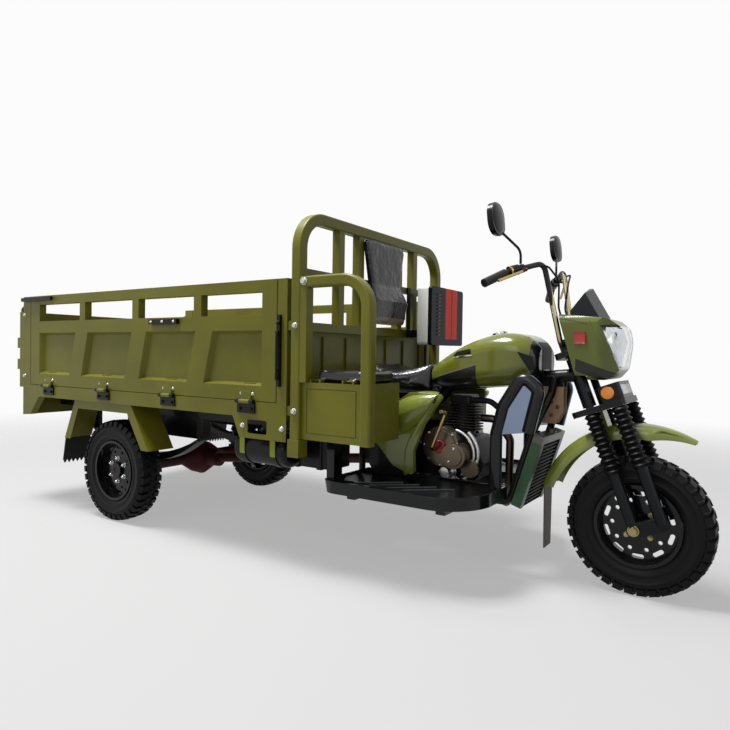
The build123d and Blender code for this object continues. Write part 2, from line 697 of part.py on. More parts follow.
# Footboards: pressed pans on outriggers from the cradle, with a post up to the seat box
FOOT_REAR = 98.0
FOOT_FRONT_SETBACK = 490.0
FOOT_OUT_Y = 525.0
FOOT_IN_Y = 150.0
FOOT_SKIRT = 46.0
BOX_LOW_Z = 563.0
foot_rear_x = BED_FRONT_X + FOOT_REAR
foot_front_x = FRONT_AXLE_X - FOOT_FRONT_SETBACK
with BuildPart() as footboards:
    for side in (-1, 1):
        with BuildSketch(Plane.XY.offset(FOOT_TOP_Z)):
            with BuildLine():
                Polyline(
                    (foot_rear_x, side * FOOT_IN_Y),
                    (foot_front_x, side * FOOT_IN_Y),
                    (foot_front_x, side * (FOOT_OUT_Y - 125.0)),
                    (foot_front_x - 110.0, side * FOOT_OUT_Y),
                    (foot_rear_x, side * FOOT_OUT_Y),
                    close=True,
                )
            make_face()
        extrude(amount=-FOOT_SKIRT)
        for bar_x in (foot_rear_x + 120.0, foot_front_x - 150.0):
            y_pair = sorted((side * (CRADLE_Y + CRADLE_R + SEAT_GAP), side * (FOOT_OUT_Y - 60.0)))
            low = (bar_x - 20.0, y_pair[0], OUTRIGGER_LOW_Z)
            add_block(low, (bar_x + 20.0, y_pair[1], FOOT_TOP_Z - FOOT_SKIRT))
        y_pair = sorted((side * 420.0, side * 480.0))
        low = (foot_rear_x, y_pair[0], FOOT_TOP_Z - FOOT_SKIRT)
        add_block(low, (foot_rear_x + 40.0, y_pair[1], BOX_LOW_Z - SEAT_GAP))
save(footboards, "footboards")

# Leg shields: padded hoops beside the radiator with a dark shield inside each
HOOP_Y = 205.0
HOOP_R = 26.0
HOOP_ROUTE = (
    # behind the front axle, height
    (520.0, FOOT_TOP_Z + SEAT_GAP),
    (520.0, 600.0),
    (490.0, 720.0),
    (410.0, 850.0),
    (345.0, 790.0),
    (385.0, 620.0),
)
with BuildPart() as leg_shields:
    for side in (-1, 1):
        hoop = [(FRONT_AXLE_X - setback, side * HOOP_Y, z) for setback, z in HOOP_ROUTE]
        add_tube(hoop, 34.0, HOOP_R)
        with BuildSketch(side_plane(side * HOOP_Y)):
            with BuildLine():
                Polyline(*[(x, z) for x, _, z in hoop[1:]], close=True)
            make_face()
        extrude(amount=7.0, both=True)
save(leg_shields, "leg_shields")

# Bed floor: sheet between the side rails on cross bearers
FLOOR_HALF = BED_HALF - RAIL_W
floor_rear_x = BED_REAR_X + REAR_PANEL_T
floor_front_x = BED_FRONT_X - POST_FRONT_W
bearer_pitch = (floor_front_x - floor_rear_x - BEARER_W) / (BEARER_COUNT - 1)
with BuildPart() as bed_floor:
    add_block((floor_rear_x, -FLOOR_HALF, FLOOR_Z - SHEET), (floor_front_x, FLOOR_HALF, FLOOR_Z))
    for place in range(BEARER_COUNT):
        bearer_x = floor_rear_x + place * bearer_pitch
        low = (bearer_x, -FLOOR_HALF, FLOOR_Z - SHEET - BEARER_H)
        add_block(low, (bearer_x + BEARER_W, FLOOR_HALF, FLOOR_Z - SHEET))
save(bed_floor, "bed_floor")

# Bed side rails: channels along the floor, with a slotted corner plate at the front
CORNER_LOW_Z = 545.0
CORNER_REAR = 318.0
CORNER_SLOPE = 45.0
SLOT_REAR = 225.0
SLOT_FRONT = 110.0
SLOT_LOW_Z = 567.0
SLOT_HIGH_Z = 628.0
rail_rear_x = BED_REAR_X + POST_REAR_W
with BuildPart() as bed_rails:
    for side in (-1, 1):
        with BuildSketch(side_plane(side * BED_HALF)):
            with BuildLine():
                Polyline(
                    (rail_rear_x, FLOOR_Z),
                    (BED_FRONT_X - POST_FRONT_W, FLOOR_Z),
                    (BED_FRONT_X - POST_FRONT_W, RAIL_LOW_Z),
                    (BED_FRONT_X, RAIL_LOW_Z),
                    (BED_FRONT_X, CORNER_LOW_Z),
                    (BED_FRONT_X - CORNER_REAR + CORNER_SLOPE, CORNER_LOW_Z),
                    (BED_FRONT_X - CORNER_REAR, RAIL_LOW_Z),
                    (rail_rear_x, RAIL_LOW_Z),
                    close=True,
                )
            make_face()
            slot_x = BED_FRONT_X - (SLOT_REAR + SLOT_FRONT) / 2
            with Locations((slot_x, (SLOT_LOW_Z + SLOT_HIGH_Z) / 2)):
                RectangleRounded(SLOT_REAR - SLOT_FRONT, SLOT_HIGH_Z - SLOT_LOW_Z, 10.0, mode=Mode.SUBTRACT)
        extrude(amount=side * SHEET)
        y_pair = sorted((side * BED_HALF, side * FLOOR_HALF))
        for flange_z in (RAIL_LOW_Z, FLOOR_Z - SHEET):
            low = (rail_rear_x, y_pair[0], flange_z)
            add_block(low, (BED_FRONT_X - POST_FRONT_W, y_pair[1], flange_z + SHEET))
save(bed_rails, "bed_rails")

# Bed posts: folded corner posts, the rear pair with a tapered foot
POST_FOOT_Z = 521.0
POST_TAPER = 97.0
with BuildPart() as bed_posts:
    for side in (-1, 1):
        with BuildSketch(side_plane(side * BED_HALF)):
            with BuildLine():
                Polyline(
                    (BED_REAR_X, POST_FOOT_Z),
                    (rail_rear_x, POST_FOOT_Z + 7.0),
                    (rail_rear_x + POST_TAPER, RAIL_LOW_Z),
                    (rail_rear_x, RAIL_LOW_Z),
                    (rail_rear_x, BED_TOP_Z),
                    (BED_REAR_X, BED_TOP_Z),
                    close=True,
                )
            make_face()
        extrude(amount=side * PANEL_T)
        y_pair = sorted((side * BED_HALF, side * (BED_HALF - PANEL_T)))
        low = (BED_FRONT_X - POST_FRONT_W, y_pair[0], RAIL_LOW_Z)
        add_block(low, (BED_FRONT_X, y_pair[1], BED_TOP_Z))
save(bed_posts, "bed_posts")

# Front wall and rear panel of the bed, each with its cross rail
WALL_TOP_Z = 1040.0
WALL_RIB = 9.0
WALL_RIB_COUNT = 7
wall_rear_x = BED_FRONT_X - POST_FRONT_W
wall_front_x = BED_FRONT_X - WALL_RIB
with BuildPart() as front_wall:
    half = BED_HALF - PANEL_T
    add_block((wall_rear_x, -half, LADDER_TOP_Z), (wall_front_x, half, WALL_TOP_Z))
    rib_pitch = 2 * (half - 60.0) / (WALL_RIB_COUNT - 1)
    for place in range(WALL_RIB_COUNT):
        rib_y = -half + 60.0 + place * rib_pitch
        add_block((wall_front_x, rib_y - 28, FLOOR_Z), (BED_FRONT_X, rib_y + 28, WALL_TOP_Z - 40.0))
save(front_wall, "front_wall")
PLATE_HOLE_R = 3.5
PLATE_HOLE_PITCH = 120.0
PLATE_HOLE_Z = 590.0
with BuildPart() as rear_panel:
    half = BED_HALF - PANEL_T
    add_block((BED_REAR_X, -half, POST_FOOT_Z + 4.0), (BED_REAR_X + REAR_PANEL_T, half, FLOOR_Z))
    for side in (-1, 1):
        hole_y = side * PLATE_HOLE_PITCH / 2
        add_bar_x(BED_REAR_X, BED_REAR_X + REAR_PANEL_T, hole_y, PLATE_HOLE_Z, PLATE_HOLE_R, Mode.SUBTRACT)
save(rear_panel, "rear_panel")
LAMP_PROUD = 25.0
with BuildPart() as tail_lamps:
    for side in (-1, 1):
        with BuildSketch(Plane(origin=(BED_REAR_X, side * 510.0, 590.0), x_dir=(0, 1, 0), z_dir=(-1, 0, 0))):
            RectangleRounded(150.0, 70.0, 14.0)
        extrude(amount=LAMP_PROUD)
save(tail_lamps, "tail_lamps")

# Headboard: bent square tube with rails and uprights, on sleeves at the bed front
HEAD_TOP_Z = 1530.0
HEAD_CORNER = 140.0
HEAD_FOOT_Z = 486.0
SLEEVE_W = 60.0
SLEEVE_GAP = 3.0
BAR_TUBE = 40.0
UPRIGHTS = (-340.0, -180.0, 180.0, 340.0)
HEAD_RAILS = (
    # low edge, high edge
    (1252.0, 1282.0),
    (1017.0, 1056.0),
)
head_x = BED_FRONT_X + HEAD_GAP_X + HEAD_TUBE / 2
head_y = BED_HALF - HEAD_TUBE / 2
with BuildPart() as headboard:
    with BuildLine():
        FilletPolyline(
            (head_x, -head_y, HEAD_FOOT_Z),
            (head_x, -head_y, HEAD_TOP_Z - HEAD_TUBE / 2),
            (head_x, head_y, HEAD_TOP_Z - HEAD_TUBE / 2),
            (head_x, head_y, HEAD_FOOT_Z),
            radius=HEAD_CORNER,
        )
    with BuildSketch(Plane(origin=(head_x, -head_y, HEAD_FOOT_Z), z_dir=(0, 0, 1))):
        RectangleRounded(HEAD_TUBE, HEAD_TUBE, 8.0)
    sweep()
    for low_z, high_z in HEAD_RAILS:
        low = (head_x - BAR_TUBE / 2, -head_y, low_z)
        add_block(low, (head_x + BAR_TUBE / 2, head_y, high_z))
    for bar_y in UPRIGHTS:
        low = (head_x - BAR_TUBE / 2, bar_y - BAR_TUBE / 2, HEAD_RAILS[1][0])
        add_block(low, (head_x + BAR_TUBE / 2, bar_y + BAR_TUBE / 2, HEAD_TOP_Z - HEAD_TUBE / 2))
    for side in (-1, 1):
        y_pair = sorted((side * (head_y - 20.0), side * (head_y + 20.0)))
        for lug_z in (660.0, 1020.0):
            add_block((BED_FRONT_X, y_pair[0], lug_z), (head_x, y_pair[1], lug_z + 40.0))
        low = (head_x - SLEEVE_W / 2, side * head_y - SLEEVE_W / 2, HEAD_FOOT_Z)
        add_block(low, (head_x + SLEEVE_W / 2, side * head_y + SLEEVE_W / 2, BOX_LOW_Z - SLEEVE_GAP))
save(headboard, "headboard")

# Backrest: waisted pad on the headboard, thicker at the small of the back
BACKREST_SHAPE = (
    # half width, height
    (190.0, 1480.0),
    (140.0, 1265.0),
    (168.0, 1185.0),
    (150.0, 1065.0),
)
BACKREST_SIDE = (
    # thickness, height
    (24.0, 1480.0),
    (30.0, 1265.0),
    (64.0, 1185.0),
    (50.0, 1065.0),
)
pad_back_x = head_x + BAR_TUBE / 2 + SEAT_GAP
with BuildPart() as backrest:
    with BuildSketch(Plane(origin=(pad_back_x, 0, 0), x_dir=(0, 1, 0), z_dir=(1, 0, 0))):
        with BuildLine():
            right_edge = [(-half, z) for half, z in BACKREST_SHAPE]
            left_edge = [(half, z) for half, z in reversed(BACKREST_SHAPE)]
            Polyline(*right_edge, *left_edge, close=True)
        make_face()
        fillet(vertices(), radius=34.0)
    extrude(amount=80.0)
    with BuildSketch(side_plane(0)):
        with BuildLine():
            front_edge = [(pad_back_x + thick, z) for thick, z in BACKREST_SIDE]
            Polyline(
                (pad_back_x, BACKREST_SIDE[0][1]), *front_edge, (pad_back_x, BACKREST_SIDE[-1][1]), close=True
            )
        make_face()
    extrude(amount=250.0, both=True, mode=Mode.INTERSECT)
save(backrest, "backrest")

# Seat boxes: folded sheet boxes in front of the headboard posts, open on top under their lids
BOX_LENGTH = 305.0
BOX_OUT_Y = 620.0
BOX_IN_Y = 335.0
BOX_TOP_Z = 803.0
BOX_WALL = 5.0
DOOR_INSET = 25.0
DOOR_LINE = 5.0
LID_AXIS_Y = 596.0
LID_T = 50.0
LID_HINGES = (70.0, 235.0)
LID_BARREL = 40.0
LID_BARREL_R = 7.0
lid_axis_z = BOX_TOP_Z + LID_BARREL_R + 2.0
box_rear_x = head_x + HEAD_TUBE / 2
box_front_x = box_rear_x + BOX_LENGTH
with BuildPart() as seat_boxes:
    for side in (-1, 1):
        y_pair = sorted((side * BOX_IN_Y, side * BOX_OUT_Y))
        low = (box_rear_x, y_pair[0], BOX_LOW_Z)
        add_block(low, (box_front_x, y_pair[1], BOX_TOP_Z))
        low = (box_rear_x + BOX_WALL, y_pair[0] + BOX_WALL, BOX_LOW_Z + BOX_WALL)
        high = (box_front_x - BOX_WALL, y_pair[1] - BOX_WALL, BOX_TOP_Z + 1.0)
        add_block(low, high, Mode.SUBTRACT)
        with BuildSketch(side_plane(side * BOX_OUT_Y)):
            with Locations(((box_rear_x + box_front_x) / 2, (BOX_LOW_Z + BOX_TOP_Z) / 2)):
                frame_w = BOX_LENGTH - 2 * DOOR_INSET
                frame_h = BOX_TOP_Z - BOX_LOW_Z - 2 * DOOR_INSET
                Rectangle(frame_w, frame_h)
                Rectangle(frame_w - 2 * DOOR_LINE, frame_h - 2 * DOOR_LINE, mode=Mode.SUBTRACT)
        extrude(amount=side * BOX_WALL / 2, mode=Mode.SUBTRACT)
        for hinge_at in LID_HINGES:
            hinge_x = box_rear_x + hinge_at
            y_pair = sorted((side * (LID_AXIS_Y - 3.0), side * BOX_OUT_Y))
            for ear_x in (hinge_x - LID_BARREL / 2 - 9.0, hinge_x + LID_BARREL / 2 + 1.0):
                low = (ear_x, y_pair[0], BOX_TOP_Z - 12.0)
                add_block(low, (ear_x + 8.0, y_pair[1], lid_axis_z + 4.0))
            pin_from = hinge_x - LID_BARREL / 2 - 9.0
            add_bar_x(pin_from, hinge_x + LID_BARREL / 2 + 9.0, side * LID_AXIS_Y, lid_axis_z, PIN_R)
save(seat_boxes, "seat_boxes")

# Seat lids: padded lids that turn up about the boxes' outer edge
ARM_POST_W = 34.0
LID_END = 14.0
for side, lid_name in ((-1, "right"), (1, "left")):
    with BuildPart() as seat_lid:
        y_pair = sorted((side * (BOX_IN_Y - 4.0), side * (LID_AXIS_Y - LID_BARREL_R - 2.0)))
        low = (box_rear_x + ARM_POST_W + SWING_GAP + 1.0, y_pair[0], BOX_TOP_Z + 3.0)
        add_block(low, (box_front_x - LID_END, y_pair[1], BOX_TOP_Z + LID_T))
        fillet(seat_lid.edges().filter_by(Axis.Z), radius=30.0)
        fillet(seat_lid.faces().sort_by(Axis.Z)[-1].edges(), radius=14.0)
        for hinge_at in LID_HINGES:
            hinge_x = box_rear_x + hinge_at
            y_pair = sorted((side * LID_AXIS_Y, side * (LID_AXIS_Y - LID_BARREL_R - 6.0)))
            low = (hinge_x - LID_BARREL / 2, y_pair[0], lid_axis_z - 3.0)
            add_block(low, (hinge_x + LID_BARREL / 2, y_pair[1], lid_axis_z + 3.0))
            bar = (hinge_x - LID_BARREL / 2, hinge_x + LID_BARREL / 2, side * LID_AXIS_Y, lid_axis_z)
            add_bar_x(*bar, LID_BARREL_R)
            add_bar_x(*bar, PIN_R + PIN_GAP, Mode.SUBTRACT)
    save(seat_lid, f"seat_lid_{lid_name}")

# Arm rail: square tube from the right headboard post forward and down the box's front corner
ARM_TUBE = 48.0
ARM_Z = 1220.0
ARM_BEND = 118.0
with BuildPart() as arm_rail:
    arm_y = -(BED_HALF - ARM_TUBE / 2)
    arm_x = box_front_x + ARM_TUBE / 2
    with BuildLine():
        FilletPolyline(
            (box_rear_x, arm_y, ARM_Z), (arm_x, arm_y, ARM_Z), (arm_x, arm_y, BOX_LOW_Z), radius=ARM_BEND
        )
    with BuildSketch(Plane(origin=(box_rear_x, arm_y, ARM_Z), z_dir=(1, 0, 0))):
        RectangleRounded(ARM_TUBE, ARM_TUBE, 10.0)
    sweep()
    low = (box_rear_x, arm_y - ARM_TUBE / 2 + 2.0, BOX_TOP_Z)
    add_block(low, (box_rear_x + ARM_POST_W, arm_y + ARM_TUBE / 2 - 2.0, ARM_Z))
save(arm_rail, "arm_rail")

# Equipment case on the left of the headboard, on two arms
CASE_AHEAD = 98.0
CASE_T = 82.0
CASE_IN_Y = 196.0
CASE_OUT_Y = 569.0
CASE_LOW_Z = 977.0
CASE_HIGH_Z = 1280.0
CASE_ROUND = 16.0
CASE_STRAP_W = 30.0
CASE_STRAP_T = 8.0
CASE_STRAP_IN = 70.0
head_front_x = head_x + BAR_TUBE / 2
case_rear_x = head_front_x + CASE_AHEAD
with BuildPart() as equipment_case:
    add_block((case_rear_x, CASE_IN_Y, CASE_LOW_Z), (case_rear_x + CASE_T, CASE_OUT_Y, CASE_HIGH_Z))
    fillet(equipment_case.edges().filter_by(Axis.X), radius=CASE_ROUND)
    for strap_y in (CASE_IN_Y + CASE_STRAP_IN, CASE_OUT_Y - CASE_STRAP_IN):
        low = (head_front_x, strap_y - CASE_STRAP_W / 2, HEAD_RAILS[1][0])
        add_block(low, (head_front_x + CASE_STRAP_T, strap_y + CASE_STRAP_W / 2, HEAD_RAILS[0][1]))
        low = (head_front_x, strap_y - CASE_STRAP_W / 2, HEAD_RAILS[1][0])
        add_block(low, (case_rear_x, strap_y + CASE_STRAP_W / 2, HEAD_RAILS[1][1]))
save(equipment_case, "equipment_case")

# Rear fenders: angular sheets with an outer lip, and their rubber flaps
FENDER_HALF = 80.0
FENDER_LIP = 46.0
FENDER_OUTLINE = (
    # ahead of the rear axle, height, share of the width taken inwards along X
    (-426.0, 416.0, 1.1),
    (-327.0, RAIL_LOW_Z, 0.7),
    (185.0, RAIL_LOW_Z, -0.7),
    (328.0, 410.0, -1.1),
)
FLAP_DROP = 150.0
FLAP_T = 6.0
FLAP_LEAN = 30.0
FLAP_TEETH = 6
TOOTH_H = 22.0
tooth_pitch = 2 * (FENDER_HALF - SHEET) / FLAP_TEETH


def fender_strip(width):
    """Sketch the fender outline as an open strip of a given width."""
    outer = [(REAR_AXLE_X + ahead, z) for ahead, z, _ in FENDER_OUTLINE]
    inner = [(REAR_AXLE_X + ahead + share * width, z) for ahead, z, share in FENDER_OUTLINE]
    with BuildLine() as outer_edge:
        Polyline(*outer, close=True)
    make_face(outer_edge.edges())
    with BuildLine() as inner_edge:
        Polyline(
            (inner[0][0], inner[0][1] - 10.0),
            (inner[1][0], inner[1][1] - width),
            (inner[2][0], inner[2][1] - width),
            (inner[3][0], inner[3][1] - 10.0),
            close=True,
        )
    make_face(inner_edge.edges(), mode=Mode.SUBTRACT)


with BuildPart() as rear_fenders:
    for side in (-1, 1):
        outer_plane = side_plane(side * (WHEEL_Y + FENDER_HALF))
        with BuildSketch(outer_plane):
            fender_strip(SHEET)
        extrude(amount=side * 2 * FENDER_HALF)
        with BuildSketch(outer_plane):
            fender_strip(FENDER_LIP)
        extrude(amount=side * SHEET)
save(rear_fenders, "rear_fenders")
with BuildPart() as mud_flaps:
    flap_x = REAR_AXLE_X + FENDER_OUTLINE[0][0]
    flap_z = FENDER_OUTLINE[0][1] - SEAT_GAP
    for side in (-1, 1):
        with BuildSketch(side_plane(side * (WHEEL_Y + FENDER_HALF - SHEET))):
            with BuildLine():
                Polyline(
                    (flap_x, flap_z),
                    (flap_x + FLAP_T, flap_z),
                    (flap_x - FLAP_LEAN + FLAP_T, flap_z - FLAP_DROP),
                    (flap_x - FLAP_LEAN, flap_z - FLAP_DROP),
                    close=True,
                )
            make_face()
        extrude(amount=side * 2 * (FENDER_HALF - SHEET))
        flap_middle = (flap_x - 2 * FLAP_LEAN, side * WHEEL_Y, 0)
        with BuildSketch(Plane(origin=flap_middle, x_dir=(0, 1, 0), z_dir=(1, 0, 0))):
            for place in range(FLAP_TEETH + 1):
                notch_y = -FENDER_HALF + SHEET + place * tooth_pitch
                with BuildLine():
                    Polyline(
                        (notch_y - tooth_pitch / 2, flap_z - FLAP_DROP - 1.0),
                        (notch_y, flap_z - FLAP_DROP + TOOTH_H),
                        (notch_y + tooth_pitch / 2, flap_z - FLAP_DROP - 1.0),
                        close=True,
                    )
                make_face()
        extrude(amount=3 * FLAP_LEAN, mode=Mode.SUBTRACT)
save(mud_flaps, "mud_flaps")

# Hung tank: rounded vessel under the right side of the bed, in two straps from the bearers
HUNG_X = BED_FRONT_X - 222.0
HUNG_LENGTH = 320.0
HUNG_Y = 505.0
HUNG_R = 72.0
HUNG_Z = 482.0
STRAP_W = 30.0
STRAP_PITCH = 186.0
with BuildPart() as hung_tank:
    add_bar_x(HUNG_X - HUNG_LENGTH / 2, HUNG_X + HUNG_LENGTH / 2, -HUNG_Y, HUNG_Z, HUNG_R)
    fillet(hung_tank.edges().filter_by(GeomType.CIRCLE), radius=24.0)
    for side in (-1, 1):
        strap_x = HUNG_X + side * STRAP_PITCH / 2 - STRAP_W / 2
        add_bar_x(strap_x, strap_x + STRAP_W, -HUNG_Y, HUNG_Z, HUNG_R + SHEET)
        for leg_y in (-HUNG_Y - HUNG_R - SHEET, -HUNG_Y + HUNG_R):
            add_block((strap_x, leg_y, HUNG_Z), (strap_x + STRAP_W, leg_y + SHEET, FLOOR_Z - SHEET))
save(hung_tank, "hung_tank")

# Bed fittings: fixed halves of the hinges with their pins, and the latch levers on the front posts
PANEL_HINGES = (-577.0, -38.0, 495.0, 1028.0)
GATE_HINGES = (-450.0, 0.0, 450.0)
BARREL_L = 60.0
KNUCKLE_L = 22.0
KNUCKLE_GAP = 0.5
LATCH_PROUD = 20.0
hinge_reach = BARREL_L / 2 + KNUCKLE_GAP + KNUCKLE_L
with BuildPart() as bed_fittings:
    for side in (-1, 1):
        leaf_y = sorted((side * BED_HALF, side * (BED_HALF + LEAF_T)))
        for ahead in PANEL_HINGES:
            hinge_x = REAR_AXLE_X + ahead
            low = (hinge_x - hinge_reach, leaf_y[0], FLOOR_Z - 52.0)
            add_block(low, (hinge_x + hinge_reach, leaf_y[1], FLOOR_Z - BARREL_R - 2.0))
            for knuckle_x in (hinge_x - hinge_reach, hinge_x + hinge_reach - KNUCKLE_L):
                add_bar_x(knuckle_x, knuckle_x + KNUCKLE_L, side * SIDE_AXIS_Y, FLOOR_Z, BARREL_R)
                low = (knuckle_x, leaf_y[0], FLOOR_Z - 20.0)
                add_block(low, (knuckle_x + KNUCKLE_L, leaf_y[1], FLOOR_Z - 2.0))
            add_bar_x(hinge_x - hinge_reach, hinge_x + hinge_reach, side * SIDE_AXIS_Y, FLOOR_Z, PIN_R)
        latch_x = BED_FRONT_X - POST_FRONT_W / 2
        latch_y = sorted((side * BED_HALF, side * (BED_HALF + LATCH_PROUD - 6.0)))
        add_block((latch_x - 18, latch_y[0], 780.0), (latch_x - 2, latch_y[1], 1085.0))
    for hinge_y in GATE_HINGES:
        for knuckle_y in (hinge_y - hinge_reach, hinge_y + hinge_reach - KNUCKLE_L):
            add_bar_y(GATE_AXIS_X, knuckle_y, knuckle_y + KNUCKLE_L, GATE_LOW_Z, BARREL_R)
            low = (GATE_AXIS_X, knuckle_y, GATE_LOW_Z - 26.0)
            add_block(low, (BED_REAR_X, knuckle_y + KNUCKLE_L, GATE_LOW_Z - SWING_GAP - 1.0))
        add_bar_y(GATE_AXIS_X, hinge_y - hinge_reach, hinge_y + hinge_reach, GATE_LOW_Z, PIN_R)
save(bed_fittings, "bed_fittings")

# Drop sides: pressed panels with a slotted head, four drafted recesses and slanted ribs
TOP_RAIL_H = 52.0
MID_RAIL_LOW_Z = 1020.0
MID_RAIL_HIGH_Z = 1089.0
RECESS_LOW_Z = 778.0
RECESS_DEPTH = 22.0
RECESS_DRAFT = 30.0
STILE_REAR_W = 96.0
STILE_FRONT_W = 85.0
RIB_W = 117.0
RIB_SLANT = 60.0
RIBS = (-253.0, 258.0, 744.0)
UPRIGHT_W = 52.0
UPRIGHT_CENTRES = (-245.0, 229.0, 699.0)
recess_left = PANEL_REAR_X + STILE_REAR_W
recess_right = PANEL_FRONT_X - STILE_FRONT_W
rib_lefts = [REAR_AXLE_X + rib - RIB_W / 2 for rib in RIBS]
upright_lefts = [REAR_AXLE_X + centre - UPRIGHT_W / 2 for centre in UPRIGHT_CENTRES]

for side, panel_name in ((-1, "right"), (1, "left")):
    outer = side_plane(side * BED_HALF)
    with BuildPart() as side_panel:
        with BuildSketch(outer):
            with BuildLine():
                Polyline(
                    (PANEL_REAR_X, PANEL_LOW_Z),
                    (PANEL_FRONT_X, PANEL_LOW_Z),
                    (PANEL_FRONT_X, BED_TOP_Z),
                    (PANEL_REAR_X, BED_TOP_Z),
                    close=True,
                )
            make_face()
            slot_lefts = [recess_left] + [left + UPRIGHT_W for left in upright_lefts]
            slot_rights = upright_lefts + [recess_right]
            for slot_left, slot_right in zip(slot_lefts, slot_rights):
                with BuildLine():
                    Polyline(
                        (slot_left, MID_RAIL_HIGH_Z),
                        (slot_right, MID_RAIL_HIGH_Z),
                        (slot_right, BED_TOP_Z - TOP_RAIL_H),
                        (slot_left, BED_TOP_Z - TOP_RAIL_H),
                        close=True,
                    )
                make_face(mode=Mode.SUBTRACT)
        extrude(amount=side * PANEL_T)
        bay_lefts = [(recess_left, recess_left)]
        bay_lefts += [(left + RIB_W, left + RIB_W - RIB_SLANT) for left in rib_lefts]
        bay_rights = [(left, left - RIB_SLANT) for left in rib_lefts] + [(recess_right, recess_right)]
        for (top_left, low_left), (top_right, low_right) in zip(bay_lefts, bay_rights):
            with BuildSketch(outer):
                with BuildLine():
                    Polyline(
                        (low_left, RECESS_LOW_Z),
                        (low_right, RECESS_LOW_Z),
                        (top_right, MID_RAIL_LOW_Z),
                        (top_left, MID_RAIL_LOW_Z),
                        close=True,
                    )
                make_face()
            extrude(amount=side * RECESS_DEPTH, taper=RECESS_DRAFT, mode=Mode.SUBTRACT)
        for ahead in PANEL_HINGES:
            hinge_x = REAR_AXLE_X + ahead
            leaf_y = sorted((side * BED_HALF, side * (BED_HALF + LEAF_T)))
            low = (hinge_x - BARREL_L / 2, leaf_y[0], PANEL_LOW_Z)
            add_block(low, (hinge_x + BARREL_L / 2, leaf_y[1], FLOOR_Z + 46.0))
            bar = (hinge_x - BARREL_L / 2, hinge_x + BARREL_L / 2, side * SIDE_AXIS_Y, FLOOR_Z)
            add_bar_x(*bar, BARREL_R)
            add_bar_x(*bar, PIN_R + PIN_GAP, Mode.SUBTRACT)
    save(side_panel, f"side_panel_{panel_name}")
    with BuildPart() as side_latches:
        handle_x = REAR_AXLE_X + 467.0
        y_pair = sorted((side * BED_HALF, side * (BED_HALF + LATCH_PROUD)))
        add_block((handle_x - 105, y_pair[0], 1056.0), (handle_x + 105, y_pair[1], 1080.0))
        lever_y = sorted((side * (BED_HALF + 6.0), side * (BED_HALF + LATCH_PROUD)))
        lever_x = BED_REAR_X + 7.0
        add_block((lever_x, lever_y[0], BED_TOP_Z - 30.0), (lever_x + 324.0, lever_y[1], BED_TOP_Z - 8.0))
        foot_y = sorted((side * BED_HALF, side * (BED_HALF + 6.0)))
        foot_x = PANEL_REAR_X + 40.0
        add_block((foot_x, foot_y[0], BED_TOP_Z - 30.0), (foot_x + 60.0, foot_y[1], BED_TOP_Z - 8.0))
    save(side_latches, f"side_latches_{panel_name}")

# Tailgate: pressed gate behind the rear posts, with rubber buffers and its hinge leaves
GATE_EDGE = 80.0
GATE_RIB_W = 70.0
GATE_BAYS = 3
ROD_R = 9.0
ROD_IN = 24.0
ROD_OUT = 16.0
ROD_RISE = 42.0
ROD_LOW_Z = 1070.0
GATE_HALF = BED_HALF - 2.0
gate_top_z = GATE_LOW_Z + GATE_HEIGHT
gate_plane = Plane(origin=(GATE_OUT_X, 0, 0), x_dir=(0, -1, 0), z_dir=(-1, 0, 0))
bay_width = (2 * (GATE_HALF - GATE_EDGE) - (GATE_BAYS - 1) * GATE_RIB_W) / GATE_BAYS
with BuildPart() as tailgate:
    add_block((GATE_OUT_X, -GATE_HALF, GATE_LOW_Z), (GATE_OUT_X + GATE_T, GATE_HALF, gate_top_z))
    for bay in range(GATE_BAYS):
        bay_y = -GATE_HALF + GATE_EDGE + bay_width / 2 + bay * (bay_width + GATE_RIB_W)
        with BuildSketch(gate_plane):
            with Locations((bay_y, (GATE_LOW_Z + gate_top_z) / 2)):
                Rectangle(bay_width, GATE_HEIGHT - 150.0)
        extrude(amount=-RECESS_DEPTH, taper=RECESS_DRAFT, mode=Mode.SUBTRACT)
    for hinge_y in GATE_HINGES:
        low = (GATE_OUT_X - LEAF_T, hinge_y - BARREL_L / 2, GATE_LOW_Z + 2.0)
        add_block(low, (GATE_OUT_X, hinge_y + BARREL_L / 2, GATE_LOW_Z + 46.0))
        bar = (GATE_AXIS_X, hinge_y - BARREL_L / 2, hinge_y + BARREL_L / 2, GATE_LOW_Z)
        add_bar_y(*bar, BARREL_R)
        add_bar_y(*bar, PIN_R + PIN_GAP, Mode.SUBTRACT)
    for side in (-1, 1):
        for buffer_z in (830.0, 960.0):
            y_pair = sorted((side * GATE_HALF, side * (GATE_HALF - 46.0)))
            low = (GATE_OUT_X - BUFFER_H, y_pair[0], buffer_z - 32.0)
            add_block(low, (GATE_OUT_X, y_pair[1], buffer_z + 32.0))
        rod_y = side * (GATE_HALF - ROD_IN)
        rod_x = GATE_OUT_X - ROD_OUT
        rod = (
            (rod_x, rod_y, ROD_LOW_Z),
            (rod_x, rod_y, gate_top_z + ROD_RISE / 2),
            (BED_REAR_X - ROD_R - SWING_GAP, rod_y, gate_top_z + ROD_RISE),
        )
        add_tube(rod, 2 * ROD_R, ROD_R)
        low = (rod_x, rod_y - ROD_R, ROD_LOW_Z)
        add_block(low, (GATE_OUT_X, rod_y + ROD_R, ROD_LOW_Z + 3 * ROD_R))
save(tailgate, "tailgate")

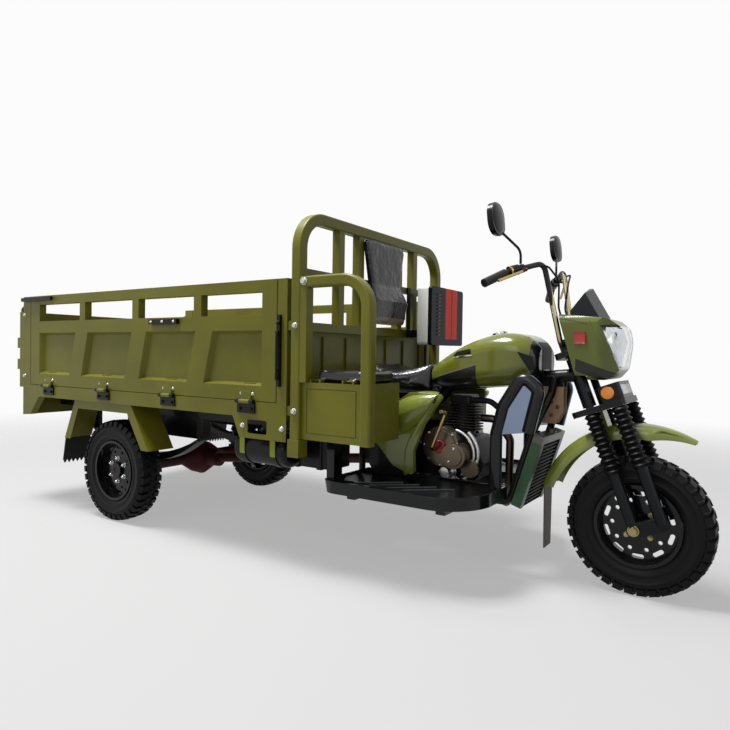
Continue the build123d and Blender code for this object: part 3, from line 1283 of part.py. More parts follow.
# Fork yokes: two plates on the steering stem, with the handlebar clamps
YOKE_Y = NACELLE_HALF - NACELLE_WALL
CLAMP_Y = 50.0
CLAMP_S = 1042.0
BAR_R = 11.0
lower_plane = Plane(origin=on_stem(0, 0, LOWER_YOKE_S), x_dir=STEM.x_dir, z_dir=STEM.z_dir)
upper_plane = lower_plane.offset(UPPER_YOKE_S - LOWER_YOKE_S)
with BuildPart() as fork_yokes:
    with BuildSketch(lower_plane):
        with Locations((58.0, 0)):
            RectangleRounded(210.0, 2 * (LEG_Y + 30.0), 30.0)
    extrude(amount=YOKE_T)
    with BuildSketch(upper_plane):
        with Locations((10.0, 0)):
            RectangleRounded(90.0, 2 * YOKE_Y, 20.0)
    extrude(amount=YOKE_T)
    with BuildSketch(lower_plane):
        Circle(STEM_R)
    extrude(amount=UPPER_YOKE_S - LOWER_YOKE_S + YOKE_T)
    with BuildSketch(upper_plane.offset(YOKE_T)):
        with Locations((0, -CLAMP_Y), (0, CLAMP_Y)):
            Rectangle(36.0, 30.0)
    extrude(amount=CLAMP_S + BAR_R + 9.0 - UPPER_YOKE_S - YOKE_T)
    clamp_x, _, clamp_z = on_stem(0, 0, CLAMP_S)
    add_bar_y(clamp_x, -CLAMP_Y - 20.0, CLAMP_Y + 20.0, clamp_z, BAR_R + SEAT_GAP, Mode.SUBTRACT)
save(fork_yokes, "fork_yokes")

# Fork legs: a tube and slider ahead of the other on each side, link plates and the front axle
SLIDER_TOP_S = 500.0
LINK_T = 24.0
LINK_H = 52.0
leg_top_s = LOWER_YOKE_S - SEAT_GAP
with BuildPart() as fork_legs:
    for side in (-1, 1):
        leg_y = side * LEG_Y
        for leg_d in (REAR_LEG_D, FRONT_LEG_D):
            leg_foot = on_stem(leg_d, leg_y, AXLE_S)
            add_tube((leg_foot, on_stem(leg_d, leg_y, SLIDER_TOP_S)), 0, SLIDER_R)
            add_tube((leg_foot, on_stem(leg_d, leg_y, leg_top_s)), 0, TUBE_R)
        link_plane = Plane(origin=on_stem(0, leg_y + LINK_T / 2, 0), x_dir=STEM.x_dir, z_dir=(0, -1, 0))
        with BuildSketch(link_plane):
            with Locations(((REAR_LEG_D + FRONT_LEG_D) / 2, AXLE_S)):
                SlotCenterToCenter(LEG_PITCH, LINK_H)
        extrude(amount=LINK_T)
        upper_foot = on_stem(REAR_LEG_D, leg_y, LOWER_YOKE_S + YOKE_T + SEAT_GAP)
        add_tube((upper_foot, on_stem(REAR_LEG_D, leg_y, UPPER_YOKE_S - SEAT_GAP)), 0, TUBE_R)
    add_bar_y(FRONT_AXLE_X, -LEG_Y - 18.0, LEG_Y + 18.0, AXLE_Z, AXLE_R)
save(fork_legs, "fork_legs")

# Fork gaiters: rubber bellows over the tubes
FOLD_COUNT = 11
FOLD_DEPTH = 10.0
gaiter_length = leg_top_s - SLIDER_TOP_S - 2 * SEAT_GAP
fold_pitch = gaiter_length / FOLD_COUNT
with BuildPart() as fork_gaiters:
    for side in (-1, 1):
        for leg_d in (REAR_LEG_D, FRONT_LEG_D):
            sleeve_foot = on_stem(leg_d, side * LEG_Y, SLIDER_TOP_S + SEAT_GAP)
            folds = [(GAITER_R - FOLD_DEPTH, 0)]
            for fold in range(FOLD_COUNT):
                folds.append((GAITER_R, (fold + 0.5) * fold_pitch))
                folds.append((GAITER_R - FOLD_DEPTH, (fold + 1) * fold_pitch))
            with BuildSketch(Plane(origin=sleeve_foot, x_dir=STEM.x_dir, z_dir=(0, -1, 0))):
                with BuildLine():
                    Polyline(
                        (TUBE_R + SEAT_GAP, 0), *folds, (TUBE_R + SEAT_GAP, gaiter_length), close=True
                    )
                make_face()
            revolve(axis=Axis(sleeve_foot, STEM.z_dir))
save(fork_gaiters, "fork_gaiters")

# Handlebar: high bent bar through the clamps, with its grips
GRIP_R = 17.0
GRIP_SHARE = 0.9
BAR_HALF_ROUTE = (
    # behind the front axle, half span, height
    (503.0, 400.0, 1203.0),
    (454.0, 290.0, 1255.0),
    (358.0, 138.0, 1304.0),
    (FRONT_AXLE_X - clamp_x, 98.0, clamp_z),
)
with BuildPart() as handlebar:
    right_half = [(FRONT_AXLE_X - back, -span, z) for back, span, z in BAR_HALF_ROUTE]
    left_half = [(FRONT_AXLE_X - back, span, z) for back, span, z in reversed(BAR_HALF_ROUTE)]
    add_tube((*right_half, *left_half), 30.0, BAR_R)
save(handlebar, "handlebar")
with BuildPart() as grips:
    for side in (-1, 1):
        tip, root = [Vector(FRONT_AXLE_X - back, side * span, z) for back, span, z in BAR_HALF_ROUTE[:2]]
        add_tube((tip, tip + (root - tip) * GRIP_SHARE), 0, GRIP_R, BAR_R + SEAT_GAP)
save(grips, "grips")

# Bar controls: switch housings, lever perches and levers beside the grips
SWITCH_R = 21.0
PERCH_R = 17.0
LEVER_R = 5.5
LEVER_REACH = 44.0
CONTROL_RUN = (
    # piece radius, start and end along the bar from the grip's inner end
    (SWITCH_R, 10.0, 52.0),
    (PERCH_R, 54.0, 80.0),
)
perches = {}
with BuildPart() as bar_controls:
    for side in (-1, 1):
        bar_points = [Vector(FRONT_AXLE_X - back, side * span, z) for back, span, z in BAR_HALF_ROUTE[:3]]
        tip, root, bend = bar_points
        along = (bend - root).normalized()
        for radius, run_from, run_to in CONTROL_RUN:
            add_tube((root + along * run_from, root + along * run_to), 0, radius, BAR_R + SEAT_GAP)
        perch = root + along * ((CONTROL_RUN[1][1] + CONTROL_RUN[1][2]) / 2)
        perches[side] = perch
        ahead = (Vector(1, 0, 0) - along * along.X).normalized()
        lever = (
            perch + ahead * (PERCH_R - 2.0),
            perch + ahead * LEVER_REACH,
            tip + Vector(LEVER_REACH + 14.0, 0, 6.0),
        )
        add_tube(lever, 14.0, LEVER_R)
save(bar_controls, "bar_controls")

# Mirrors: rounded shells on bent stalks that stand on the lever perches
MIRROR_Y = 380.0
MIRROR_Z = 1445.0
MIRROR_SETBACK = 478.0
MIRROR_W = 124.0
MIRROR_T = 22.0
STALK_R = 5.0
STALK_SEAT = 2.4
STALK_KNEE_Z = 1345.0
with BuildPart() as mirrors:
    for side in (-1, 1):
        mirror_x = FRONT_AXLE_X - MIRROR_SETBACK
        perch = perches[side]
        stalk = (
            (perch.X, perch.Y, perch.Z + PERCH_R + STALK_SEAT),
            (perch.X, perch.Y, STALK_KNEE_Z),
            (mirror_x + 14.0, side * MIRROR_Y, MIRROR_Z - 30.0),
        )
        add_tube(stalk, 40.0, STALK_R)
        glass = Plane(origin=(mirror_x, side * MIRROR_Y, MIRROR_Z), x_dir=(0, 1, 0), z_dir=(1, 0, 0.1))
        with BuildSketch(glass):
            RectangleRounded(MIRROR_W, MIRROR_W - 2.0, 50.0)
        extrude(amount=MIRROR_T)
save(mirrors, "mirrors")

# Control cables: from the switch housings in front of the bar and down into the open back of the nacelle
CABLE_R = 4.0
CABLE_BEND = 55.0
CABLE_AHEAD = BAR_R + CABLE_R + 1.5
CABLE_ROUTE = (
    # behind the front axle, half span, height
    (334.0, 165.0, 1290.0),
    (316.0, 66.0, 1240.0),
    (322.0, 46.0, 1130.0),
    (290.0, 44.0, 1020.0),
)
with BuildPart() as control_cables:
    for side in (-1, 1):
        root, bend = [Vector(FRONT_AXLE_X - back, side * span, z) for back, span, z in BAR_HALF_ROUTE[1:3]]
        along = (bend - root).normalized()
        ahead = (Vector(1, 0, 0) - along * along.X).normalized()
        outlet = root + along * CONTROL_RUN[1][2] + ahead * CABLE_AHEAD
        route = [outlet + along * SEAT_GAP, outlet + along * 30.0]
        route += [Vector(FRONT_AXLE_X - back, side * span, z) for back, span, z in CABLE_ROUTE]
        add_tube(route, CABLE_BEND, CABLE_R)
save(control_cables, "control_cables")

# Nacelle: open-backed lamp housing round the upper yoke, its lens and a small dark screen
NACELLE_SIDE = (
    # behind the front axle, height
    (300.0, 1098.0),
    (110.0, 1078.0),
    (62.0, 1040.0),
    (48.0, 985.0),
    (66.0, 880.0),
    (106.0, 838.0),
    (222.0, 836.0),
)
NOSE_HALF = 70.0
NOSE_BACK = 46.0
CHEEK_BACK = 130.0
NACELLE_BACK = 320.0
NACELLE_ROUND = 40.0
NOSE_ROUND = 60.0
NACELLE_LOW_Z = 833.0
NACELLE_HIGH_Z = 1101.0
POCKET_LOW_Z = 740.0
LENS_TOP_Z = 1052.0
LENS_LOW_Z = 872.0
LENS_TOP_BACK = 136.0
LENS_LOW_BACK = 68.0
POCKET_SIDE = (
    # behind the front axle, height
    (340.0, 1090.0),
    (190.0, 1080.0),
    (154.0, 1050.0),
    (176.0, 900.0),
    (190.0, 800.0),
    (340.0, 800.0),
)


def round_along_x(half, low_z, high_z, corner):
    """Trim the part being built to a rounded outline seen from the front."""
    middle = (FRONT_AXLE_X - 2 * NACELLE_BACK, 0, (low_z + high_z) / 2)
    with BuildSketch(Plane(origin=middle, x_dir=(0, 1, 0), z_dir=(1, 0, 0))) as outline:
        RectangleRounded(2 * half, high_z - low_z, corner)
    extrude(outline.sketch, amount=2 * NACELLE_BACK, mode=Mode.INTERSECT)


with BuildPart() as nacelle_form:
    with BuildSketch(side_plane(NACELLE_HALF)):
        with BuildLine():
            Polyline(*[(FRONT_AXLE_X - back, z) for back, z in NACELLE_SIDE], close=True)
        make_face()
        nose = vertices().filter_by_position(Axis.X, FRONT_AXLE_X - NACELLE_SIDE[1][0] - 1.0, FRONT_AXLE_X)
        fillet(nose, radius=NACELLE_ROUND)
    extrude(amount=2 * NACELLE_HALF)
    with BuildSketch(Plane.XY):
        with BuildLine():
            Polyline(
                (FRONT_AXLE_X - NACELLE_BACK, -NACELLE_HALF),
                (FRONT_AXLE_X - CHEEK_BACK, -NACELLE_HALF),
                (FRONT_AXLE_X - NOSE_BACK, -NOSE_HALF),
                (FRONT_AXLE_X - NOSE_BACK, NOSE_HALF),
                (FRONT_AXLE_X - CHEEK_BACK, NACELLE_HALF),
                (FRONT_AXLE_X - NACELLE_BACK, NACELLE_HALF),
                close=True,
            )
        make_face()
        cheeks = vertices().filter_by_position(Axis.X, FRONT_AXLE_X - CHEEK_BACK - 1.0, FRONT_AXLE_X)
        fillet(cheeks, radius=NOSE_ROUND)
    extrude(amount=2 * NACELLE_LOW_Z, mode=Mode.INTERSECT)
    round_along_x(NACELLE_HALF, NACELLE_LOW_Z, NACELLE_HIGH_Z, NACELLE_ROUND)
with BuildPart() as nacelle_pocket:
    with BuildSketch(side_plane(NACELLE_HALF - NACELLE_WALL)):
        with BuildLine():
            Polyline(*[(FRONT_AXLE_X - back, z) for back, z in POCKET_SIDE], close=True)
        make_face()
    extrude(amount=2 * (NACELLE_HALF - NACELLE_WALL))
    inner = NACELLE_ROUND - NACELLE_WALL
    round_along_x(NACELLE_HALF - NACELLE_WALL, POCKET_LOW_Z, NACELLE_HIGH_Z - NACELLE_WALL, inner)
with BuildPart() as lens_zone:
    with BuildSketch(side_plane(NACELLE_HALF + 5.0)):
        with BuildLine():
            Polyline(
                (FRONT_AXLE_X - LENS_TOP_BACK, LENS_TOP_Z),
                (FRONT_AXLE_X, LENS_TOP_Z),
                (FRONT_AXLE_X, LENS_LOW_Z),
                (FRONT_AXLE_X - LENS_LOW_BACK, LENS_LOW_Z),
                close=True,
            )
        make_face()
    extrude(amount=2 * NACELLE_HALF + 10.0)
with BuildPart() as headlamp_lens:
    add(nacelle_form.part)
    add(lens_zone.part, mode=Mode.INTERSECT)
save(headlamp_lens, "headlamp_lens")
with BuildPart() as nacelle:
    add(nacelle_form.part)
    add(lens_zone.part, mode=Mode.SUBTRACT)
    add(nacelle_pocket.part, mode=Mode.SUBTRACT)
save(nacelle, "nacelle")
SCREEN_HALF = 92.0
SCREEN_TAPER = 12.0
SCREEN_SIDE = (
    # behind the front axle, height
    (112.0, 1058.0),
    (196.0, 1206.0),
    (212.0, 1206.0),
    (280.0, 1120.0),
    (280.0, 1058.0),
)
top_slope = (NACELLE_SIDE[0][1] - NACELLE_SIDE[1][1]) / (NACELLE_SIDE[0][0] - NACELLE_SIDE[1][0])
roof_front_z = NACELLE_SIDE[1][1] - NACELLE_SIDE[1][0] * top_slope + SEAT_GAP
with BuildPart() as windscreen:
    with BuildSketch(side_plane(0)):
        with BuildLine():
            Polyline(*[(FRONT_AXLE_X - back, z) for back, z in SCREEN_SIDE], close=True)
        make_face()
    extrude(amount=SCREEN_HALF, both=True, taper=SCREEN_TAPER)
    with BuildSketch(side_plane(SCREEN_HALF + SHEET)):
        with BuildLine():
            Polyline(
                (FRONT_AXLE_X - NACELLE_BACK, roof_front_z + NACELLE_BACK * top_slope),
                (FRONT_AXLE_X, roof_front_z),
                (FRONT_AXLE_X, NACELLE_LOW_Z),
                (FRONT_AXLE_X - NACELLE_BACK, NACELLE_LOW_Z),
                close=True,
            )
        make_face()
    extrude(amount=2 * (SCREEN_HALF + SHEET), mode=Mode.SUBTRACT)
save(windscreen, "windscreen")

# Fork lamp: marker lamp housing on the lower yoke, with its front lens
FORK_LAMP_H = 66.0
FORK_LAMP_L = 94.0
FORK_LAMP_W = 220.0
FORK_LAMP_AHEAD = 112.0
FORK_LENS_T = 26.0
FORK_LENS_RIM = 14.0
lamp_front = FORK_LAMP_AHEAD + FORK_LAMP_L / 2
lamp_plane = lower_plane.offset(YOKE_T + SEAT_GAP)
with BuildPart() as fork_lamp:
    with BuildSketch(lamp_plane):
        with Locations((FORK_LAMP_AHEAD, 0)):
            RectangleRounded(FORK_LAMP_L, FORK_LAMP_W, 22.0)
    extrude(amount=FORK_LAMP_H)
    with BuildSketch(lamp_plane.offset(FORK_LENS_RIM)):
        with Locations((lamp_front, 0)):
            Rectangle(2 * FORK_LENS_T, FORK_LAMP_W - 4 * FORK_LENS_RIM)
    extrude(amount=FORK_LAMP_H - 2 * FORK_LENS_RIM, mode=Mode.SUBTRACT)
save(fork_lamp, "fork_lamp")
with BuildPart() as fork_lamp_lens:
    with BuildSketch(lamp_plane.offset(FORK_LENS_RIM + SEAT_GAP)):
        with Locations((lamp_front - FORK_LENS_T / 2, 0)):
            Rectangle(FORK_LENS_T - SEAT_GAP, FORK_LAMP_W - 4 * FORK_LENS_RIM - 2 * SEAT_GAP)
    extrude(amount=FORK_LAMP_H - 2 * FORK_LENS_RIM - 2 * SEAT_GAP)
save(fork_lamp_lens, "fork_lamp_lens")

# Front fender: channel-section arch over the wheel on a bracket from the lower yoke, with a rubber flap
FENDER_R = 384.0
FENDER_FRONT_DEG = 59.6
FENDER_REAR_DEG = 161.6
ARCH_HALF = 66.0
ARCH_SKIRT = 24.0
TIP_START = 40.0
TIP_HALF = 12.0
FLAP_LOW_Z = 119.0
front_axis = Axis((FRONT_AXLE_X, 0, AXLE_Z), (0, -1, 0))
start = radians(FENDER_FRONT_DEG)
finish = radians(FENDER_REAR_DEG)
with BuildPart() as front_fender:
    arch_plane = Plane(
        origin=(FRONT_AXLE_X, 0, AXLE_Z), x_dir=(0, 1, 0), z_dir=(sin(start), 0, -cos(start))
    )
    with BuildSketch(arch_plane):
        with BuildLine():
            Polyline(
                (-ARCH_HALF, FENDER_R - ARCH_SKIRT),
                (-ARCH_HALF + SHEET, FENDER_R - ARCH_SKIRT),
                (-ARCH_HALF + 14.0, FENDER_R),
                (ARCH_HALF - 14.0, FENDER_R),
                (ARCH_HALF - SHEET, FENDER_R - ARCH_SKIRT),
                (ARCH_HALF, FENDER_R - ARCH_SKIRT),
                (ARCH_HALF - 11.0, FENDER_R + SHEET),
                (-ARCH_HALF + 11.0, FENDER_R + SHEET),
                close=True,
            )
        make_face()
    revolve(axis=front_axis, revolution_arc=FENDER_REAR_DEG - FENDER_FRONT_DEG)
    with BuildSketch(Plane.XY):
        with BuildLine():
            tip_x = FRONT_AXLE_X + FENDER_R * cos(start) + SHEET
            Polyline(
                (FRONT_AXLE_X - FENDER_R - SHEET, -ARCH_HALF),
                (FRONT_AXLE_X + TIP_START, -ARCH_HALF),
                (tip_x, -TIP_HALF),
                (tip_x, TIP_HALF),
                (FRONT_AXLE_X + TIP_START, ARCH_HALF),
                (FRONT_AXLE_X - FENDER_R - SHEET, ARCH_HALF),
                close=True,
            )
        make_face()
    extrude(amount=2 * (AXLE_Z + FENDER_R), mode=Mode.INTERSECT)
    with BuildSketch(lower_plane.offset(-SEAT_GAP)):
        with Locations((20.0, 0)):
            Rectangle(60.0, 70.0)
    extrude(amount=-80.0)
save(front_fender, "front_fender")
with BuildPart() as front_flap:
    flap_top_x = FRONT_AXLE_X + FENDER_R * cos(finish) + 2.0
    flap_top_z = AXLE_Z + FENDER_R * sin(finish) - SEAT_GAP
    with BuildSketch(Plane(origin=(flap_top_x, 0, 0), x_dir=(0, -1, 0), z_dir=(-1, 0, 0))):
        with BuildLine():
            Polyline(
                (-ARCH_HALF + 14.0, flap_top_z),
                (ARCH_HALF - 14.0, flap_top_z),
                (ARCH_HALF - 22.0, FLAP_LOW_Z),
                (-ARCH_HALF + 22.0, FLAP_LOW_Z),
                close=True,
            )
        make_face()
    extrude(amount=SHEET)
save(front_flap, "front_flap")
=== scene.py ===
import math

import bmesh
import bpy
from mathutils import Matrix, Vector


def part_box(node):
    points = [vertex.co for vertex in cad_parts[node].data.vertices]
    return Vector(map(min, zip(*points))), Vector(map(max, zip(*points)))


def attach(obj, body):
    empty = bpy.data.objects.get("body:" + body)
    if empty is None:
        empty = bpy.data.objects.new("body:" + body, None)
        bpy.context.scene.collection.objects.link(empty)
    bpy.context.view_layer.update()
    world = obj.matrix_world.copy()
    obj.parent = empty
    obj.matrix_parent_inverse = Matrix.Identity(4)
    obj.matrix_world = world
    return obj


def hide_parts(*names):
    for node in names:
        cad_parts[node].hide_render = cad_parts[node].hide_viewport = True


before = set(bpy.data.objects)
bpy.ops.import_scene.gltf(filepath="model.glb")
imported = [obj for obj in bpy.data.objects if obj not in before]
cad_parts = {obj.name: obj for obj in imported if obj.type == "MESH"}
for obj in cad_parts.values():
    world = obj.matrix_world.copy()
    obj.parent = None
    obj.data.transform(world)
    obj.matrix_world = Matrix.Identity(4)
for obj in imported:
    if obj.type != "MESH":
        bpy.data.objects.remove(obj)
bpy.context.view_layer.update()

# Painted frame: ladder rails, backbone, cradle, springs and yokes of welded steel.
# Satin black enamel is sprayed over everything, so it shows a faint orange peel and an uneven gloss.
# The gusset plates behind the head are left in matt tan primer.
MM = 0.001
X_AXIS = Vector((1, 0, 0))
Y_AXIS = Vector((0, 1, 0))
Z_AXIS = Vector((0, 0, 1))
CLOUD_MM = 1000 / 3
CLOUD_EDGES = (0.35, 0.68)
GLOSS_SPREAD = (-0.04, 0.06)
COAT_ROUGHNESS = 0.06
# Sockets of a Mix node by kind of value: the old value, the new value and the result.
MIX_SOCKETS = {"RGBA": (6, 7, 2), "FLOAT": (2, 3, 0)}


def linear(code):
    """Turn an sRGB hex colour into the linear colour that a shader takes."""
    channels = [int(code[i:i + 2], 16) / 255 for i in (1, 3, 5)]
    return (*[c / 12.92 if c < 0.04045 else ((c + 0.055) / 1.055) ** 2.4 for c in channels], 1)


def add_node(tree, kind, values=None, links=None):
    """Add a node, set its options and socket values by name or number, and link its inputs."""
    node = tree.nodes.new(kind)
    for name, value in (values or {}).items():
        if isinstance(name, str) and name not in node.inputs:
            setattr(node, name, value)
        else:
            node.inputs[name].default_value = value
    for name, source in (links or {}).items():
        tree.links.new(source, node.inputs[name])
    return node


def start_material(name):
    """Make an empty material and give back its node tree, Object coordinates and shader."""
    material = bpy.data.materials.new(name)
    material.use_nodes = True
    tree = material.node_tree
    shader = tree.nodes["Principled BSDF"]
    place = add_node(tree, "ShaderNodeTexCoord").outputs["Object"]
    return material, tree, place, shader


def set_shader(shader, values):
    """Set the shader's own sockets, for what is the same all over the surface."""
    for name, value in values.items():
        shader.inputs[name].default_value = value


def coating(name, shade, light, gloss, coat=0, metallic=0, edge_mm=2, grain_mm=4, grain=0.05,
            depth_mm=0.4, shine=0.3):
    """A sprayed, moulded or cast skin: two close shades in clouds, fine grain and softened edges.

    Real orange peel and grain are 1 to 2 mm across; grain_mm is coarser, so that they show.
    """
    material, tree, place, shader = start_material(name)
    cloud = add_node(tree, "ShaderNodeTexNoise", {"Scale": 1000 / CLOUD_MM, "Detail": 4}, {"Vector": place})
    colour = add_node(tree, "ShaderNodeValToRGB", {}, {"Fac": cloud.outputs["Fac"]})
    for stop, position, code in zip(colour.color_ramp.elements, CLOUD_EDGES, (shade, light)):
        stop.position = position
        stop.color = linear(code)
    tree.links.new(colour.outputs["Color"], shader.inputs["Base Color"])
    sheen = add_node(tree, "ShaderNodeMapRange",
                     {"To Min": gloss + GLOSS_SPREAD[0], "To Max": gloss + GLOSS_SPREAD[1]},
                     {"Value": cloud.outputs["Fac"]})
    tree.links.new(sheen.outputs["Result"], shader.inputs["Roughness"])
    pits = add_node(tree, "ShaderNodeTexNoise", {"Scale": 1000 / grain_mm, "Detail": 2}, {"Vector": place})
    edge = add_node(tree, "ShaderNodeBevel", {"Radius": edge_mm * MM, "samples": 4})
    bump = add_node(tree, "ShaderNodeBump", {"Strength": grain, "Distance": depth_mm * MM},
                    {"Height": pits.outputs["Fac"], "Normal": edge.outputs["Normal"]})
    tree.links.new(bump.outputs["Normal"], shader.inputs["Normal"])
    set_shader(shader, {"Coat Weight": coat, "Coat Roughness": COAT_ROUGHNESS, "Metallic": metallic,
                        "Specular IOR Level": shine})
    return material


def paint_zone(material, code, zones, gloss=None, metallic=None):
    """Mask off part of a finish, by where it lies along some directions, and spray it another colour."""
    tree = material.node_tree
    shader = tree.nodes["Principled BSDF"]
    place = add_node(tree, "ShaderNodeTexCoord").outputs["Object"]
    mask = None
    for direction, mirrored, low_mm, high_mm in zones:
        along = add_node(tree, "ShaderNodeVectorMath", {"operation": "DOT_PRODUCT", 1: direction}, {0: place})
        value = along.outputs["Value"]
        if mirrored:
            value = add_node(tree, "ShaderNodeMath", {"operation": "ABSOLUTE"}, {0: value}).outputs["Value"]
        middle = (low_mm + high_mm) / 2 * MM
        inside = add_node(tree, "ShaderNodeMath",
                          {"operation": "COMPARE", 1: middle, 2: (high_mm - low_mm) / 2 * MM}, {0: value})
        if mask is None:
            mask = inside.outputs["Value"]
        else:
            both = add_node(tree, "ShaderNodeMath", {"operation": "MULTIPLY"},
                            {0: mask, 1: inside.outputs["Value"]})
            mask = both.outputs["Value"]
    changes = (
        ("Base Color", "RGBA", linear(code)),
        ("Roughness", "FLOAT", gloss),
        ("Metallic", "FLOAT", metallic),
    )
    for socket, kind, value in changes:
        if value is None:
            continue
        old_at, new_at, result_at = MIX_SOCKETS[kind]
        mix = add_node(tree, "ShaderNodeMix", {"data_type": kind})
        tree.links.new(mask, mix.inputs[0])
        mix.inputs[new_at].default_value = value
        if shader.inputs[socket].is_linked:
            tree.links.new(shader.inputs[socket].links[0].from_socket, mix.inputs[old_at])
        else:
            mix.inputs[old_at].default_value = shader.inputs[socket].default_value
        tree.links.new(mix.outputs[result_at], shader.inputs[socket])


def dress(material, *names):
    """Give CAD nodes a finish through their material slots."""
    for name in names:
        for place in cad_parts[name].material_slots:
            place.material = material


black_enamel = coating("black_enamel", "#08080A", "#0F0F11", 0.36, coat=0.1, shine=0.15)
dress(black_enamel, "chassis_rails", "frame_cradle", "leaf_springs", "fork_yokes")
spine_enamel = coating("black_enamel_and_tan_primer", "#08080A", "#0F0F11", 0.36, coat=0.1, shine=0.15)
GUSSET = ((Y_AXIS, True, 19, 25), (X_AXIS, False, 1198, 1308), (Z_AXIS, False, 640, 800))
paint_zone(spine_enamel, "#B8977A", GUSSET, gloss=0.55)
dress(spine_enamel, "frame_spine")

# Rear axle: cast differential, axle tubes and drive shaft, brushed over with red oxide primer.
# The primer is dull, coarse and blotchy.
red_primer = coating("red_oxide_primer", "#2A0A08", "#4A1512", 0.6, grain_mm=12, grain=0.2)
dress(red_primer, "rear_axle")

# Rims: pressed steel discs with round and slotted vents, dipped in black enamel, which gives a deep gloss.
# Hex nuts on washers hold them to the hubs: chromed and domed at the rear, yellow zinc at the front.
rim_enamel = coating("gloss_black_enamel", "#060607", "#0B0B0D", 0.22, coat=0.25, shine=0.15)
dress(rim_enamel, "front_rim", "rear_right_rim", "rear_left_rim")
chrome = coating("chrome_plate", "#C9CACB", "#DADADA", 0.1, metallic=1, edge_mm=0.8, grain=0)
yellow_zinc = coating("yellow_zinc_plate", "#8A7C52", "#B3A679", 0.28, metallic=1, edge_mm=0.8, grain=0.02)
scene = bpy.context.scene
WASHER = 2
WASHER_SHARE = 0.72
DOME_SHARE = 0.42
BOLT_ROUND = 0.6
NUT_CIRCLE = 62
NUT_SHARE = 0.6
OUTSIDE = 800
WHEELS = (
    # wheel, side that faces out, nut count, nut size in mm, domed, finish
    ("front", -1, 4, 15, False, yellow_zinc),
    ("rear_right", -1, 6, 17, True, chrome),
    ("rear_left", 1, 6, 17, True, chrome),
)


def add_piece(name, bm, material, body, replaced=(), sharp_deg=35):
    """Turn a bmesh into a shaded piece that rides on a body."""
    bmesh.ops.recalc_face_normals(bm, faces=bm.faces)
    mesh = bpy.data.meshes.new(name)
    bm.to_mesh(mesh)
    bm.free()
    mesh.shade_smooth()
    mesh.set_sharp_from_angle(angle=math.radians(sharp_deg))
    mesh.materials.append(material)
    piece = bpy.data.objects.new(name, mesh)
    scene.collection.objects.link(piece)
    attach(piece, body)
    if replaced:
        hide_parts(*replaced)
    return piece


def seat_on(node, start_mm, direction):
    """Find where a straight line first meets a CAD node, and the way that its surface faces there."""
    start, heading = Vector(start_mm) * MM, Vector(direction).normalized()
    hit, spot, normal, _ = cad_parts[node].ray_cast(start, heading)
    assert hit, f"nothing of {node} lies ahead of {start_mm}"
    return spot, normal


def seat_beside(node, side, ahead_mm, height_mm):
    """Seat something on a CAD node from outside the vehicle, straight in from one side."""
    return seat_on(node, (ahead_mm, side * OUTSIDE, height_mm), (0, -side, 0))


def facing(spot, normal):
    """The transform that stands a piece made along Z on a spot."""
    return Matrix.Translation(spot) @ normal.to_track_quat("Z", "Y").to_matrix().to_4x4()


def edges_of(verts):
    """All the edges that meet some points."""
    return list({link for vert in verts for link in vert.link_edges})


def faces_of(verts):
    """All the faces that meet some points."""
    return list({face for vert in verts for face in vert.link_faces})


def round_edges(bm, edges, round_mm, segments):
    """Round off edges by a radius."""
    return bmesh.ops.bevel(bm, geom=edges, offset=round_mm * MM, segments=segments, profile=0.5,
                           affect="EDGES", material=-1)


def add_bolt(bm, spot, normal, size_mm, dome=False):
    """Add a hex head on a washer, by its size across flats and height, domed where the nut is closed."""
    across_mm, height_mm = size_mm
    corner_mm = across_mm / 2 / math.cos(math.radians(30))
    stack = ((20, across_mm * WASHER_SHARE, 0, WASHER), (6, corner_mm, WASHER, height_mm))
    for sides, radius_mm, low_mm, thick_mm in stack:
        lift = Matrix.Translation((0, 0, (low_mm + thick_mm / 2) * MM))
        made = bmesh.ops.create_cone(bm, cap_ends=True, segments=sides, radius1=radius_mm * MM,
                                     radius2=radius_mm * MM, depth=thick_mm * MM,
                                     matrix=facing(spot, normal) @ lift)
        round_edges(bm, edges_of(made["verts"]), BOLT_ROUND, 1)
    if dome:
        cap = facing(spot, normal) @ Matrix.Translation((0, 0, (WASHER + height_mm) * MM))
        bmesh.ops.create_uvsphere(bm, u_segments=14, v_segments=8, radius=across_mm * DOME_SHARE * MM,
                                  matrix=cap)


def bolt_beside(bm, node, side, ahead_mm, height_mm, size_mm, dome=False):
    """Bolt a hex head on a CAD node, straight in from one side."""
    spot, normal = seat_beside(node, side, ahead_mm, height_mm)
    add_bolt(bm, spot, normal, size_mm, dome)


for wheel, side, count, across, dome, finish in WHEELS:
    low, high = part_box(f"{wheel}_tyre")
    hub = (low + high) / 2 / MM
    bm = bmesh.new()
    for index in range(count):
        turn = 2 * math.pi * (index + 0.5) / count
        ahead, up = NUT_CIRCLE * math.cos(turn), NUT_CIRCLE * math.sin(turn)
        size = (across, across * NUT_SHARE)
        bolt_beside(bm, f"{wheel}_rim", side, hub.x + ahead, hub.z + up, size, dome)
    add_piece(f"{wheel}_wheel_nuts", bm, finish, f"{wheel}_wheel")

